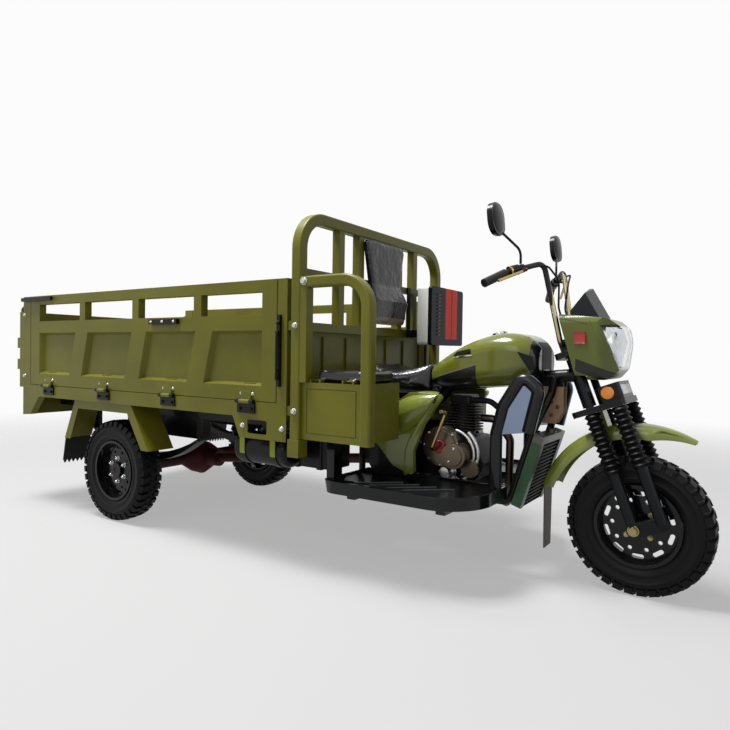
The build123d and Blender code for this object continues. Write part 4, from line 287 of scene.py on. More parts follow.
# Tyres: moulded rubber carcasses, dull black, with a ring on each sidewall and a bar-type tread.
# The tread is staggered shoulder lugs and middle blocks, moulded in one with the carcass.
tyre_rubber = coating("moulded_tyre_rubber", "#070708", "#0C0C0D", 0.5, grain_mm=3, grain=0.25, edge_mm=1.5,
                      shine=0.15)
LUG_COUNT = 36
LUG_ROUND = 1.6
TYRE_STEPS = 3 * LUG_COUNT
WELD = 0.01
TYRE_SIDE = (
    # distance from the middle, radius, in mm
    (0, 262), (22, 261.5), (40, 259), (53, 253), (60, 243), (63, 230),
    (63.4, 225), (64.8, 223), (64.8, 219), (63.4, 217), (62.5, 203), (60.5, 193),
    (63, 187), (61, 178), (56, 170), (51, 161),
)
SHOULDER_LUG = {
    # corner across and up: distance from the middle, radius, shift along the tread
    (-1, -1): (20, 250, -4),
    (-1, 1): (21, 271.6, -4),
    (1, 1): (57, 266, 3),
    (1, -1): (64.6, 240, 3),
}
MIDDLE_LUG = {
    (-1, -1): (-16, 250, -6),
    (-1, 1): (-15, 271.6, -6),
    (1, 1): (15, 271.6, 6),
    (1, -1): (16, 250, 6),
}
LUGS = (
    # shape, side, half width along the tread in mm, turn by a share of the pitch
    (SHOULDER_LUG, -1, 15, 0.5),
    (SHOULDER_LUG, 1, 15, 0.5),
    (MIDDLE_LUG, 1, 10, 0),
)


def lathe(bm, outline, spot, axis, across, steps, closed=False):
    """Spin an outline, given as distance along the axis and radius in mm, into a solid of revolution."""
    points = [bm.verts.new(spot + axis * along * MM + across * radius * MM) for along, radius in outline]
    pairs = list(zip(points, points[1:]))
    if closed:
        pairs.append((points[-1], points[0]))
    edges = [bm.edges.new(pair) for pair in pairs]
    bmesh.ops.spin(bm, geom=points + edges, cent=spot, axis=axis, angle=2 * math.pi, steps=steps,
                   use_merge=True)
    bmesh.ops.remove_doubles(bm, verts=bm.verts, dist=WELD * MM)


for wheel, *_ in WHEELS:
    low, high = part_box(f"{wheel}_tyre")
    hub = (low + high) / 2
    bm = bmesh.new()
    outline = list(TYRE_SIDE) + [(-along, radius) for along, radius in reversed(TYRE_SIDE[1:])]
    lathe(bm, outline, hub, Y_AXIS, Z_AXIS, TYRE_STEPS, closed=True)
    for corners, side, half_width, share in LUGS:
        stagger = Matrix.Rotation(2 * math.pi * share / LUG_COUNT, 3, "Y")
        made = bmesh.ops.create_cube(bm, size=2)["verts"]
        for vert in made:
            distance, radius, shift = corners[round(vert.co.y), round(vert.co.z)]
            vert.co = hub + stagger @ Vector((vert.co.x * half_width + shift, side * distance, radius)) * MM
        rounded = round_edges(bm, edges_of(made), LUG_ROUND, 1)["faces"]
        lug = set(rounded)
        for face in rounded:
            lug |= {linked for link in face.edges for linked in link.link_faces}
        parts = list(lug) + list({link for face in lug for link in face.edges})
        parts += list({vert for face in lug for vert in face.verts})
        last = LUG_COUNT - 1
        bmesh.ops.spin(bm, geom=parts, cent=hub, axis=Y_AXIS, angle=2 * math.pi * last / LUG_COUNT,
                       steps=last, use_duplicate=True)
    add_piece(f"{wheel}_road_tyre", bm, tyre_rubber, f"{wheel}_wheel", (f"{wheel}_tyre",))

# Engine: sand-cast aluminium crankcase, darkened, with bronze anodised round covers that gleam softly.
# The covers are screwed on; a red plug closes the middle one, and a kick lever of plated rod folds up.
# A bare pump and two bright oil lines are bolted below and round them.
engine_cast = coating("dark_cast_aluminium", "#0F0E0E", "#1C1A19", 0.45, metallic=0.6, grain_mm=5,
                      grain=0.25)
COVERS = ((Y_AXIS, True, 101, 190), (Z_AXIS, False, 380, 625))
KICK_LEVER = ((Y_AXIS, False, -265, -187),)
paint_zone(engine_cast, "#6A5F50", COVERS, gloss=0.3, metallic=0.85)
paint_zone(engine_cast, "#B79A62", KICK_LEVER, gloss=0.3, metallic=1)
dress(engine_cast, "engine")
bare_alloy = coating("bare_cast_aluminium", "#B4B4B2", "#D8D8D5", 0.32, metallic=1, grain_mm=4, grain=0.2)
red_plug = coating("red_moulded_plastic", "#8E0F14", "#B0151B", 0.35, coat=0.3)
ENGINE_X, ENGINE_Z = 815.9, 470
SIDES = ((-1, "right"), (1, "left"))
COVER_X, COVER_Z = ENGINE_X - 12, ENGINE_Z + 48
COVER_FACE = 166
SCREW_COUNT = 8
SCREW_CIRCLE = 81
SCREW = (8, 5)
PLUG = ((-8, 0), (-8, 30), (3, 30), (6, 27), (6, 20), (3, 18), (3, 0))
for side, hand in SIDES:
    bm = bmesh.new()
    outward = Vector((0, side, 0))
    for index in range(SCREW_COUNT):
        turn = 2 * math.pi * index / SCREW_COUNT
        ahead, up = SCREW_CIRCLE * math.cos(turn), SCREW_CIRCLE * math.sin(turn)
        spot, _ = seat_beside("engine", side, COVER_X + ahead, COVER_Z + up)
        add_bolt(bm, spot, outward, SCREW)
    add_piece(f"engine_screws_{hand}", bm, bare_alloy, "chassis")
    bm = bmesh.new()
    spot = Vector((COVER_X, side * COVER_FACE, COVER_Z)) * MM
    lathe(bm, PLUG, spot, outward, Z_AXIS, 32)
    add_piece(f"engine_plug_{hand}", bm, red_plug, "chassis")
PUMP = (
    # outward and radius in mm
    (0, 0), (0, 40), (22, 40), (28, 34), (34, 34), (40, 24), (66, 22), (70, 0),
)
PUMP_PLACE = (ENGINE_X + 14, -99, ENGINE_Z - 62)
PUMP_EARS = (20, 140, 260)
EAR_CIRCLE = 44
EAR_BOLT = (13, 18)
OIL_LINE_MIDDLE = (ENGINE_X + 26, -107, ENGINE_Z + 18)
OIL_LINE_RADIUS = 7.5
OIL_LINES = (
    # radius of the bend in mm, where it starts and ends in degrees
    (104, 80, -62),
    (124, 52, -70),
)
bm = bmesh.new()
outward = Vector((0, -1, 0))
pump_spot = Vector(PUMP_PLACE) * MM
lathe(bm, PUMP, pump_spot, outward, Z_AXIS, 32)
for turn_deg in PUMP_EARS:
    ear = pump_spot + Matrix.Rotation(math.radians(turn_deg), 3, "Y") @ Vector((0, 0, EAR_CIRCLE * MM))
    add_bolt(bm, ear, outward, EAR_BOLT)
middle = Vector(OIL_LINE_MIDDLE) * MM
for bend_mm, from_deg, to_deg in OIL_LINES:
    start = Matrix.Rotation(math.radians(-from_deg), 4, "Y")
    ring_place = Matrix.Translation(middle + start @ Vector((bend_mm * MM, 0, 0))) @ start
    ring = bmesh.ops.create_circle(bm, segments=12, radius=OIL_LINE_RADIUS * MM, cap_ends=False,
                                   matrix=ring_place)["verts"]
    bmesh.ops.spin(bm, geom=ring + edges_of(ring), cent=middle, axis=Y_AXIS,
                   angle=math.radians(from_deg - to_deg), steps=24)
add_piece("oil_pump_and_lines", bm, bare_alloy, "chassis")

# Cylinder, exhaust and radiator: matt black finned barrel, blued header pipe and silencer,
# and a dark aluminium core between green enamelled tanks with a bare top. A black hose joins it to the head.
cylinder_black = coating("heat_resistant_black", "#161514", "#25221F", 0.42, metallic=0.4, grain=0.15)
dress(cylinder_black, "cylinder")
exhaust_steel = coating("heat_blued_steel", "#3A3634", "#5C534B", 0.35, metallic=1, grain_mm=8)
dress(exhaust_steel, "exhaust")
core_metal = coating("radiator_fin_aluminium", "#0E0F0E", "#191A18", 0.5, metallic=0.3, grain_mm=3,
                     grain=0.4)
dress(core_metal, "radiator_core")
tank_green = coating("green_radiator_enamel", "#1F4326", "#2F5A35", 0.4, coat=0.2)
RADIATOR_UP = (0.2974, 0, 0.9548)
BARE_TOP = ((RADIATOR_UP, False, 914.5, 1000), (Y_AXIS, True, 0, 151))
paint_zone(tank_green, "#55544D", BARE_TOP, gloss=0.4, metallic=0.8)
dress(tank_green, "radiator_tanks")
hose_rubber = coating("extruded_hose_rubber", "#0A0A0B", "#131314", 0.5, grain_mm=3, grain=0.1, shine=0.15)
dress(hose_rubber, "coolant_hose", "control_cables")

# Fuel tank: pressed steel shell in olive lacquer under a clear coat, with a black lower band and nose.
# A rubber nose pad, side plates, two vents with a bright bead and a chromed cap are fitted to it.
olive_tank = coating("olive_lacquer_and_black_band", "#5E631E", "#6A6F24", 0.22, coat=0.4, grain=0.02,
                     shine=0.25)
BAND_UP = (-0.28, 0, 0.96)
BAND_LENGTH = (X_AXIS, False, 700, 965)
paint_zone(olive_tank, "#1B1B1A", ((BAND_UP, False, 400, 579), BAND_LENGTH), gloss=0.3)
paint_zone(olive_tank, "#6D6C66", ((BAND_UP, False, 579, 583), BAND_LENGTH), gloss=0.3)
paint_zone(olive_tank, "#101217", ((X_AXIS, False, 1196, 1240),), gloss=0.25)
dress(olive_tank, "fuel_tank")
black_abs = coating("black_moulded_abs", "#09090B", "#111114", 0.3, coat=0.1, grain_mm=3, grain=0.08,
                    shine=0.15)
DRAPE_REACH = 250
# Corners of what is laid on each side: forward, outward and height in mm.
VENT_MOUTH = ((845, 118, 915), (940, 135, 925), (935, 125, 945), (858, 108, 935))
VENT_BEAD = ((848, 122, 908), (944, 138, 918), (944, 137, 922), (848, 121, 912))
NOSE_PLATE = ((1196, 110, 868), (1216, 100, 872), (1206, 95, 925), (1150, 120, 945))
NOSE_PAD = ((1226, -62, 850), (1226, 62, 850), (1226, 60, 985), (1226, -60, 985))
CAP = (
    # up and radius in mm
    (-8, 0), (-8, 30), (4, 30), (6, 33), (13, 33), (16, 30), (16, 16), (13.5, 14), (13.5, 0),
)
CAP_ABOVE = (1016, 0, 1300)


def drape(bm, node, corners, direction, lift_mm, thick_mm, cuts):
    """Lay a four-cornered plate on a CAD node: a grid whose points are dropped on its surface."""
    made = bmesh.ops.create_grid(bm, x_segments=cuts[0], y_segments=cuts[1], size=1)["verts"]
    for vert in made:
        across, up = (vert.co.x + 1) / 2, (vert.co.y + 1) / 2
        low_edge = Vector(corners[0]).lerp(Vector(corners[1]), across)
        high_edge = Vector(corners[3]).lerp(Vector(corners[2]), across)
        above = low_edge.lerp(high_edge, up) - DRAPE_REACH * Vector(direction).normalized()
        spot, normal = seat_on(node, above, direction)
        vert.co = spot + normal * lift_mm * MM
    faces = faces_of(made)
    bmesh.ops.recalc_face_normals(bm, faces=faces)
    if sum(face.normal.dot(Vector(direction)) for face in faces) > 0:
        bmesh.ops.reverse_faces(bm, faces=faces)
    bmesh.ops.solidify(bm, geom=faces, thickness=thick_mm * MM)


def on_side(side, points):
    """Points given forward, outward and up, put on one side of the vehicle."""
    return [(x, side * y, z) for x, y, z in points]


vents = bmesh.new()
beads = bmesh.new()
for side in (-1, 1):
    slope = (0, -0.8 * side, -0.6)
    drape(vents, "fuel_tank", on_side(side, VENT_MOUTH), slope, 1.2, 2.4, (10, 4))
    drape(beads, "fuel_tank", on_side(side, VENT_BEAD), slope, 2.2, 3.4, (10, 2))
    drape(vents, "fuel_tank", on_side(side, NOSE_PLATE), (0, -side, 0), 1.5, 3, (10, 10))
add_piece("tank_vents", vents, black_abs, "chassis")
bm = bmesh.new()
drape(bm, "fuel_tank", NOSE_PAD, (-1, 0, 0), 1.5, 3, (14, 18))
add_piece("tank_nose_pad", bm, hose_rubber, "chassis")
add_piece("tank_beads", beads, chrome, "chassis")
bm = bmesh.new()
cap_spot, cap_normal = seat_on("fuel_tank", CAP_ABOVE, (0, 0, -1))
lathe(bm, CAP, cap_spot, cap_normal, Y_AXIS, 40)
add_piece("tank_cap", bm, chrome, "chassis")

# Saddle: foam pad under one skin of black vinyl, stapled below, with a welded seam round its skirt.
# The skin is pulled tight, so it is crowned and glossy, with a fine embossed grain.
black_vinyl = coating("embossed_black_vinyl", "#0C0C0F", "#16161A", 0.3, coat=0.5, grain_mm=3.5, grain=0.12)
VOXEL = 5
STUFFING_PRESSURE = 4
STUFFING_STEPS = 20
SEAM_RISE = 1.8
SADDLE_SEAM = (2, 778)


def soften(piece, levels):
    """Finish a piece with a subdivision surface."""
    rounding = piece.modifiers.new("rounding", "SUBSURF")
    rounding.levels = levels
    rounding.render_levels = levels


def copy_of(node):
    """Start a bmesh from a CAD node's own mesh, with its points welded together."""
    bm = bmesh.new()
    bm.from_mesh(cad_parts[node].data)
    bmesh.ops.remove_doubles(bm, verts=bm.verts, dist=WELD * MM)
    return bm


def upholster(name, node, body, material, flat_axis, seam, shrink_mm=4, cap_mm=7):
    """Swell a copy of a plain pad into a stuffed one, flat where it rests, with a bead along its seam."""
    low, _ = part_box(node)
    bm = copy_of(node)
    mesh = bpy.data.meshes.new(name)
    bm.to_mesh(mesh)
    bm.free()
    pad = bpy.data.objects.new(name, mesh)
    scene.collection.objects.link(pad)
    remesh = pad.modifiers.new("skin", "REMESH")
    remesh.mode = "VOXEL"
    remesh.voxel_size = VOXEL * MM
    skinned = bpy.data.meshes.new_from_object(pad.evaluated_get(bpy.context.evaluated_depsgraph_get()))
    pad.modifiers.clear()
    pad.data = skinned
    skinned.name = name
    for vert in skinned.vertices:
        vert.co -= vert.normal * shrink_mm * MM
    start = [vert.co.copy() for vert in skinned.vertices]
    cloth = pad.modifiers.new("stuffing", "CLOTH")
    cloth.settings.use_pressure = True
    cloth.settings.uniform_pressure_force = STUFFING_PRESSURE
    cloth.settings.effector_weights.gravity = 0
    cloth.point_cache.frame_end = STUFFING_STEPS
    for step in range(1, STUFFING_STEPS + 1):
        scene.frame_set(step)
    puffed = pad.evaluated_get(bpy.context.evaluated_depsgraph_get()).data
    moved = [vert.co.copy() for vert in puffed.vertices]
    pad.modifiers.clear()
    scene.frame_set(1)
    for vert, old, new in zip(skinned.vertices, start, moved):
        shift = new - old
        shift.length = min(shift.length, cap_mm * MM)
        vert.co = old + shift
    seam_axis, seam_mm = seam
    for vert in skinned.vertices:
        off = abs(vert.co[seam_axis] - seam_mm * MM) / (2 * VOXEL * MM)
        if off < 1:
            vert.co += vert.normal * SEAM_RISE * MM * (1 - off * off) ** 2
        vert.co[flat_axis] = max(vert.co[flat_axis], low[flat_axis])
    skinned.materials.clear()
    skinned.materials.append(material)
    skinned.shade_smooth()
    soften(pad, 1)
    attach(pad, body)
    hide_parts(node)


upholster("saddle_cushion", "saddle", "chassis", black_vinyl, 2, SADDLE_SEAM)

# Side covers and lower covers: moulded plastic panels, clipped to the frame.
# The side covers are glossy olive, with a crowned shoulder, a turned-out front flange and a rubber grommet;
# the lower ones are black, as are the lamp housing and the latch bars.
olive_plastic = coating("olive_moulded_plastic", "#747E2E", "#828C38", 0.24, coat=0.5, grain=0.02, shine=0.3)
dress(olive_plastic, "side_covers")
dress(black_abs, "lower_covers", "fork_lamp", "side_latches_right", "side_latches_left")
FLANGE_EDGE = (
    # forward and height of the cover's front edge in mm
    (852, 750), (812, 690), (766, 616), (729, 548), (717, 480), (720, 402),
)
FLANGE_Y = 262
FLANGE_WALL = 4
FLANGE_FOLDS = (
    # forward, outward and up from one row to the next, in mm
    (-26, 8, -12),
    (-14, -7, -6),
)
CROWN_ROWS = (
    # forward, outward and height in mm of four points along each row, from the top edge down
    ((848, 205, 766), (716, 198, 772), (630, 205, 722), (548, 215, 664)),
    ((850, 266, 762), (716, 268, 768), (630, 268, 718), (544, 268, 660)),
    ((838, 282, 734), (740, 320, 690), (640, 314, 646), (540, 290, 600)),
    ((775, 264, 645), (716, 270, 590), (640, 272, 552), (540, 266, 548)),
)
CROWN_WALL = 3
GROMMET = ((-2, 0), (0.6, 0), (0.6, 7), (3, 8), (3, 11), (0, 13), (-2, 13))
GROMMET_X, GROMMET_Z = 822.9, 731
grommets = bmesh.new()
for side, hand in SIDES:
    bm = bmesh.new()
    points = [bm.verts.new(Vector((x, side * FLANGE_Y, z)) * MM) for x, z in FLANGE_EDGE]
    line = [bm.edges.new(pair) for pair in zip(points, points[1:])]
    for ahead, out, up in FLANGE_FOLDS:
        made = bmesh.ops.extrude_edge_only(bm, edges=line)["geom"]
        line = [item for item in made if isinstance(item, bmesh.types.BMEdge)
                and all(vert in made for vert in item.verts)]
        row = list({vert for link in line for vert in link.verts})
        bmesh.ops.translate(bm, vec=Vector((ahead, side * out, up)) * MM, verts=row)
    bmesh.ops.recalc_face_normals(bm, faces=bm.faces)
    bmesh.ops.solidify(bm, geom=list(bm.faces), thickness=FLANGE_WALL * MM)
    flange = add_piece(f"side_cover_flange_{hand}", bm, olive_plastic, "chassis",
                       sharp_deg=50)
    soften(flange, 2)
    bm = bmesh.new()
    rows = []
    for row in CROWN_ROWS:
        points = [bm.verts.new(Vector(point) * MM) for point in on_side(side, row)]
        rows.append([bm.edges.new(pair) for pair in zip(points, points[1:])])
    for upper, lower in zip(rows, rows[1:]):
        bmesh.ops.bridge_loops(bm, edges=upper + lower)
    bmesh.ops.recalc_face_normals(bm, faces=bm.faces)
    bmesh.ops.solidify(bm, geom=list(bm.faces), thickness=CROWN_WALL * MM)
    crown = add_piece(f"side_cover_crown_{hand}", bm, olive_plastic, "chassis", sharp_deg=60)
    soften(crown, 2)
    spot, normal = seat_beside("side_covers", side, GROMMET_X, GROMMET_Z)
    lathe(grommets, GROMMET, spot, normal, Z_AXIS, 28)
add_piece("side_cover_grommets", grommets, hose_rubber, "chassis")

# Footboards: pressed steel pans in gloss black enamel, with rounded corners and a raised lip.
# Slanting ribs are welded on for grip; they are coloured greyer than the pan, a painted highlight.
pan_black = coating("gloss_black_pan_enamel", "#07080A", "#0E1013", 0.2, coat=0.3, shine=0.15)
# Painted highlight: the ribs' grey stands in for the light that catches them.
rib_painted_highlight = coating("rib_enamel_with_painted_highlight", "#23262B", "#343940", 0.25, coat=0.5)
PAN_TOP = 376
PAN_INNER = 390
PAN_CORNER = 72
PAN_LIP = 12
PAN_LIP_RISE = 6
CORNER_HEIGHT = 40
RIB_WIDTH, RIB_HEIGHT, RIB_ROUND = 10, 8, 2.5
RIB_FROM_Y, RIB_TO_Y = 470, 330
RIB_SLANT = 160
RIBS = (640, 560, 720, 800)


def add_block(bm, size_mm, place, round_mm, segments=2):
    """Add a block with rounded edges, put in place by a transform."""
    made = bmesh.ops.create_cube(bm, size=1)["verts"]
    bmesh.ops.scale(bm, vec=Vector(size_mm) * MM, verts=made)
    bmesh.ops.transform(bm, matrix=place, verts=made)
    round_edges(bm, edges_of(made), round_mm, segments)


bm = copy_of("footboards")
bmesh.ops.dissolve_limit(bm, angle_limit=math.radians(1), verts=bm.verts, edges=bm.edges)
upright_edges = [link for link in bm.edges
                 if abs(link.verts[0].co.z - link.verts[1].co.z) > CORNER_HEIGHT * MM
                 and max(vert.co.z for vert in link.verts) < (PAN_TOP + 1) * MM
                 and abs(link.verts[0].co.y) > PAN_INNER * MM]
round_edges(bm, upright_edges, PAN_CORNER, 8)
pan_floors = [face for face in bm.faces if face.normal.z > 0.99
              and abs(face.calc_center_median().z - PAN_TOP * MM) < MM]
lips = bmesh.ops.inset_region(bm, faces=pan_floors, thickness=PAN_LIP * MM)["faces"]
raised = bmesh.ops.extrude_face_region(bm, geom=lips)["geom"]
raised_verts = [item for item in raised if isinstance(item, bmesh.types.BMVert)]
bmesh.ops.translate(bm, vec=(0, 0, PAN_LIP_RISE * MM), verts=raised_verts)
add_piece("footboard_pans", bm, pan_black, "chassis", ("footboards",))
for side, hand in SIDES:
    bm = bmesh.new()
    for rib_x in RIBS:
        start = Vector((rib_x, side * RIB_FROM_Y, PAN_TOP))
        end = Vector((rib_x + RIB_SLANT, side * RIB_TO_Y, PAN_TOP))
        heading = Matrix.Rotation(math.atan2(end.y - start.y, end.x - start.x), 4, "Z")
        rib_place = Matrix.Translation((start + end) / 2 * MM) @ heading
        add_block(bm, ((end - start).length, RIB_WIDTH, RIB_HEIGHT), rib_place, RIB_ROUND, 3)
    add_piece(f"footboard_ribs_{hand}", bm, rib_painted_highlight, "chassis")

# Leg shields: hoops padded in black vinyl, each round a polished steel panel, bolted to the cradle.
# The panel's metal is tinted blue-grey, a painted reflection of what is round it.
hoop_vinyl = coating("padded_hoop_vinyl", "#070709", "#0D0D11", 0.28, coat=0.25, grain_mm=3.5, grain=0.1,
                     shine=0.2)
SHIELD_PAINTED_REFLECTION = (Y_AXIS, True, 197.5, 212.5)
# Painted reflection: the steel panel is tinted blue-grey.
paint_zone(hoop_vinyl, "#77839B", (SHIELD_PAINTED_REFLECTION,), gloss=0.16, metallic=0.9)
dress(hoop_vinyl, "leg_shields")

# Bed, headboard, arm rail, seat boxes and fenders: folded sheet steel and square tube,
# powder coated in olive drab, half gloss with a visible orange peel. Hinges and latch levers are black;
# bright bolts and rivets hold the posts, the headboard and the hinge straps.
olive_coat = coating("olive_powder_coat", "#605E12", "#6C6A18", 0.38, coat=0.05, shine=0.25)
dress(olive_coat, "side_panel_right", "side_panel_left", "tailgate", "bed_posts", "bed_rails", "bed_floor",
      "front_wall", "rear_panel", "headboard", "arm_rail", "seat_boxes", "rear_fenders")
dress(black_enamel, "bed_fittings")
tank_strap = coating("black_tank_and_olive_straps", "#08080A", "#0F0F11", 0.36, coat=0.1, shine=0.15)
paint_zone(tank_strap, "#8C9A2E", ((Y_AXIS, True, 578, 590),), gloss=0.4)
dress(tank_strap, "hung_tank")
flap_rubber = coating("cut_sheet_rubber", "#101011", "#1B1B1C", 0.6, grain_mm=5, grain=0.2)
dress(flap_rubber, "mud_flaps")
REAR_AXLE_X = -934.1
POST_X, POST_HEIGHTS = -1785, (760, 1130)
HEADBOARD_X, HEADBOARD_HEIGHTS = 365.9, (680, 1040)
BOLT_SHARE = 0.5
BED_BOLTS = [
    # node, side, forward and height in mm, size across flats in mm
    ("arm_rail", -1, 412, 1222, 22),
    ("bed_rails", -1, 70, 600, 16),
    ("bed_rails", -1, 300, 600, 16),
]
for side in (-1, 1):
    BED_BOLTS += [("bed_posts", side, POST_X, height, 16) for height in POST_HEIGHTS]
    BED_BOLTS += [("headboard", side, HEADBOARD_X, height, 18) for height in HEADBOARD_HEIGHTS]
bm = bmesh.new()
for node, side, ahead, height, across in BED_BOLTS:
    bolt_beside(bm, node, side, ahead, height, (across, across * BOLT_SHARE))
add_piece("bed_bolts", bm, bare_alloy, "chassis")
PANEL_HINGES = (-577, -38, 495, 1028)
HINGE_SPREAD = 34
HINGE_Z, RIVET_Z, LIP_Z = 675, 742, 788
HINGE_BOLT, RIVET = (12, 6), (12, 4)
LIP_SIZE, LIP_ROUND = (74, 10, 6), 2
HANDLE_X, HANDLE_Z = REAR_AXLE_X + 467, 1068
HANDLE_BOLTS = (-85, 0, 85)
HANDLE_BOLT = (9, 4)
LATCH_X, LATCH_HEIGHTS = 284, (815, 1010)
LATCH_STANDOFF = 9
LATCH_POST, LATCH_ROD = 8, 5
LATCH_BOLT, LATCH_BOLT_UP = (12, 5), 40


def add_rod(bm, start_mm, end_mm, radius_mm):
    """Add a round bar between two points."""
    start, end = Vector(start_mm) * MM, Vector(end_mm) * MM
    along = end - start
    bmesh.ops.create_cone(bm, cap_ends=True, segments=18, radius1=radius_mm * MM, radius2=radius_mm * MM,
                          depth=along.length, matrix=facing((start + end) / 2, along.normalized()))


for side, hand in SIDES:
    panel = f"side_panel_{hand}"
    hinge_bolts = bmesh.new()
    rivets = bmesh.new()
    lips = bmesh.new()
    for ahead in PANEL_HINGES:
        hinge_x = REAR_AXLE_X + ahead
        for shift in (-HINGE_SPREAD, HINGE_SPREAD):
            bolt_beside(hinge_bolts, "bed_fittings", side, hinge_x + shift, HINGE_Z, HINGE_BOLT)
            bolt_beside(rivets, panel, side, hinge_x + shift, RIVET_Z, RIVET)
        spot, _ = seat_beside(panel, side, hinge_x, LIP_Z)
        add_block(lips, LIP_SIZE, Matrix.Translation(spot), LIP_ROUND)
    add_piece(f"hinge_bolts_{hand}", hinge_bolts, black_enamel, "chassis")
    add_piece(f"panel_bolts_{hand}", rivets, bare_alloy, f"{hand}_panel")
    add_piece(f"panel_lips_{hand}", lips, olive_coat, f"{hand}_panel")
    handle_bolts = bmesh.new()
    for shift in HANDLE_BOLTS:
        bolt_beside(handle_bolts, f"side_latches_{hand}", side, HANDLE_X + shift, HANDLE_Z, HANDLE_BOLT)
    add_piece(f"handle_bolts_{hand}", handle_bolts, bare_alloy, f"{hand}_panel")
    lever = bmesh.new()
    ends = []
    for height in LATCH_HEIGHTS:
        spot, normal = seat_beside("bed_fittings", side, LATCH_X, height)
        ends.append(spot / MM + normal * LATCH_STANDOFF)
        add_rod(lever, spot / MM, ends[-1], LATCH_POST)
        add_bolt(lever, spot + Vector((0, 0, LATCH_BOLT_UP * MM)), normal, LATCH_BOLT)
    add_rod(lever, ends[0], ends[1], LATCH_ROD)
    add_piece(f"latch_lever_{hand}", lever, black_enamel, "chassis")

# Battery box and plates: folded black sheet steel, bolted under the bed.
# The box hangs from the right chassis rail, under a lid and two straps;
# a plate hangs from the bearers inboard of each rear wheel, with its lower edge turned in.
# These plates are painted shade: dark sheets that stand in for the shade under the bed.
BATTERY_LOW = Vector((120, -400, 396))
BATTERY_HIGH = Vector((385, -250, 552))
BATTERY_ROUND = 8
RAIL_BOTTOM = 574
LID_PROUD = 4
LID_ROUND = 3
BATTERY_STRAPS = (185, 320)
STRAP_HALF = 14
SHEET = 3
SHEET_ROUND = 1
SHADE_PLATE_X = (-1240, -610)
SHADE_PLATE_Y = 300
SHADE_PLATE_Z = (440, 654)
SHADE_PLATE_FOLD = 22


def add_box(bm, low_mm, high_mm, round_mm):
    """Add a block with rounded edges between two corners."""
    low_corner, high_corner = Vector(low_mm), Vector(high_mm)
    add_block(bm, high_corner - low_corner, Matrix.Translation((low_corner + high_corner) / 2 * MM), round_mm)


bm = bmesh.new()
add_box(bm, BATTERY_LOW, BATTERY_HIGH, BATTERY_ROUND)
lid_low = (BATTERY_LOW.x - LID_PROUD, BATTERY_LOW.y - LID_PROUD, BATTERY_HIGH.z - LID_PROUD)
lid_high = (BATTERY_HIGH.x + LID_PROUD, BATTERY_HIGH.y + LID_PROUD, RAIL_BOTTOM)
add_box(bm, lid_low, lid_high, LID_ROUND)
for strap_x in BATTERY_STRAPS:
    strap_low = (strap_x - STRAP_HALF, lid_low[1] - SHEET, BATTERY_LOW.z - SHEET)
    strap_high = (strap_x + STRAP_HALF, lid_high[1] + SHEET, RAIL_BOTTOM)
    add_box(bm, strap_low, strap_high, SHEET_ROUND)
add_piece("battery_box", bm, black_enamel, "chassis")
# Painted shade: black plates inboard of the rear wheels, standing in for the shade under the bed.
bm = bmesh.new()
for side in (-1, 1):
    inner, outer = sorted((side * SHADE_PLATE_Y, side * (SHADE_PLATE_Y + SHEET)))
    add_box(bm, (SHADE_PLATE_X[0], inner, SHADE_PLATE_Z[0]), (SHADE_PLATE_X[1], outer, SHADE_PLATE_Z[1]), SHEET_ROUND)
    inner, outer = sorted((side * (SHADE_PLATE_Y - SHADE_PLATE_FOLD), side * SHADE_PLATE_Y))
    add_box(bm, (SHADE_PLATE_X[0], inner, SHADE_PLATE_Z[0]), (SHADE_PLATE_X[1], outer, SHADE_PLATE_Z[0] + SHEET), SHEET_ROUND)
add_piece("painted_shade_plates", bm, black_enamel, "chassis")

# Tail lamps: red and amber lens blocks of glossy moulded acrylic, screwed to the rear panel.
# The amber part is the outer end.
lens_red = coating("red_and_amber_acrylic", "#7E0A0D", "#A31014", 0.15, coat=0.8)
paint_zone(lens_red, "#E07A10", ((Y_AXIS, True, 545, 600),))
dress(lens_red, "tail_lamps")

# Backrest and seat box lids: foam pads in black vinyl on plywood, with a seam bead round the edge.
# The backrest is still wrapped in clear film, which lies in glossy creases about 60 mm apart,
# and its foot is trimmed in tan.
film_vinyl = coating("film_wrapped_vinyl", "#060607", "#0E0D0D", 0.16, coat=0.3, grain_mm=60, grain=1,
                     depth_mm=9, shine=0.25)
TAN_FOOT = (Z_AXIS, False, 1040, 1105)
BACKREST_SEAM = (0, 398)
LID_SEAM = (2, 820)
paint_zone(film_vinyl, "#6F5A47", (TAN_FOOT,), gloss=0.2)
upholster("backrest_cushion", "backrest", "chassis", film_vinyl, 0, BACKREST_SEAM, shrink_mm=3,
          cap_mm=6)
for hand in ("right", "left"):
    upholster(f"seat_lid_cushion_{hand}", f"seat_lid_{hand}", f"{hand}_lid", black_vinyl, 2, LID_SEAM,
              shrink_mm=3, cap_mm=5)

# Equipment case: box moulded in satin plastic on two arms, white end cap, black front with two red stripes.
# A column of cooling slots runs up the front beside the cap.
case_plastic = coating("black_case_plastic", "#0A0B10", "#101219", 0.36, grain_mm=3, grain=0.1, shine=0.1)
CASE_CAP = ((Y_AXIS, False, 190, 214), (X_AXIS, False, 470, 545))
paint_zone(case_plastic, "#E9E9E6", CASE_CAP, gloss=0.35)
CASE_STRIPES = ((356, 424), (434, 496))
CASE_FRONT = (X_AXIS, False, 560, 570)
STRIPE_HEIGHT = (Z_AXIS, False, 1010, 1282)
for low, high in CASE_STRIPES:
    paint_zone(case_plastic, "#FF3410", ((Y_AXIS, False, low, high), CASE_FRONT, STRIPE_HEIGHT), gloss=0.3)
dress(case_plastic, "equipment_case")
LOUVRE_COUNT = 12
LOUVRE_Y, LOUVRE_LOW_Z, LOUVRE_PITCH = 272, 1030, 19
LOUVRE_PROUD = 0.5
LOUVRE_SIZE, LOUVRE_ROUND = (5, 34, 9), 1.2
LOUVRE_TILT = 0.35
bm = bmesh.new()
_, case_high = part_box("equipment_case")
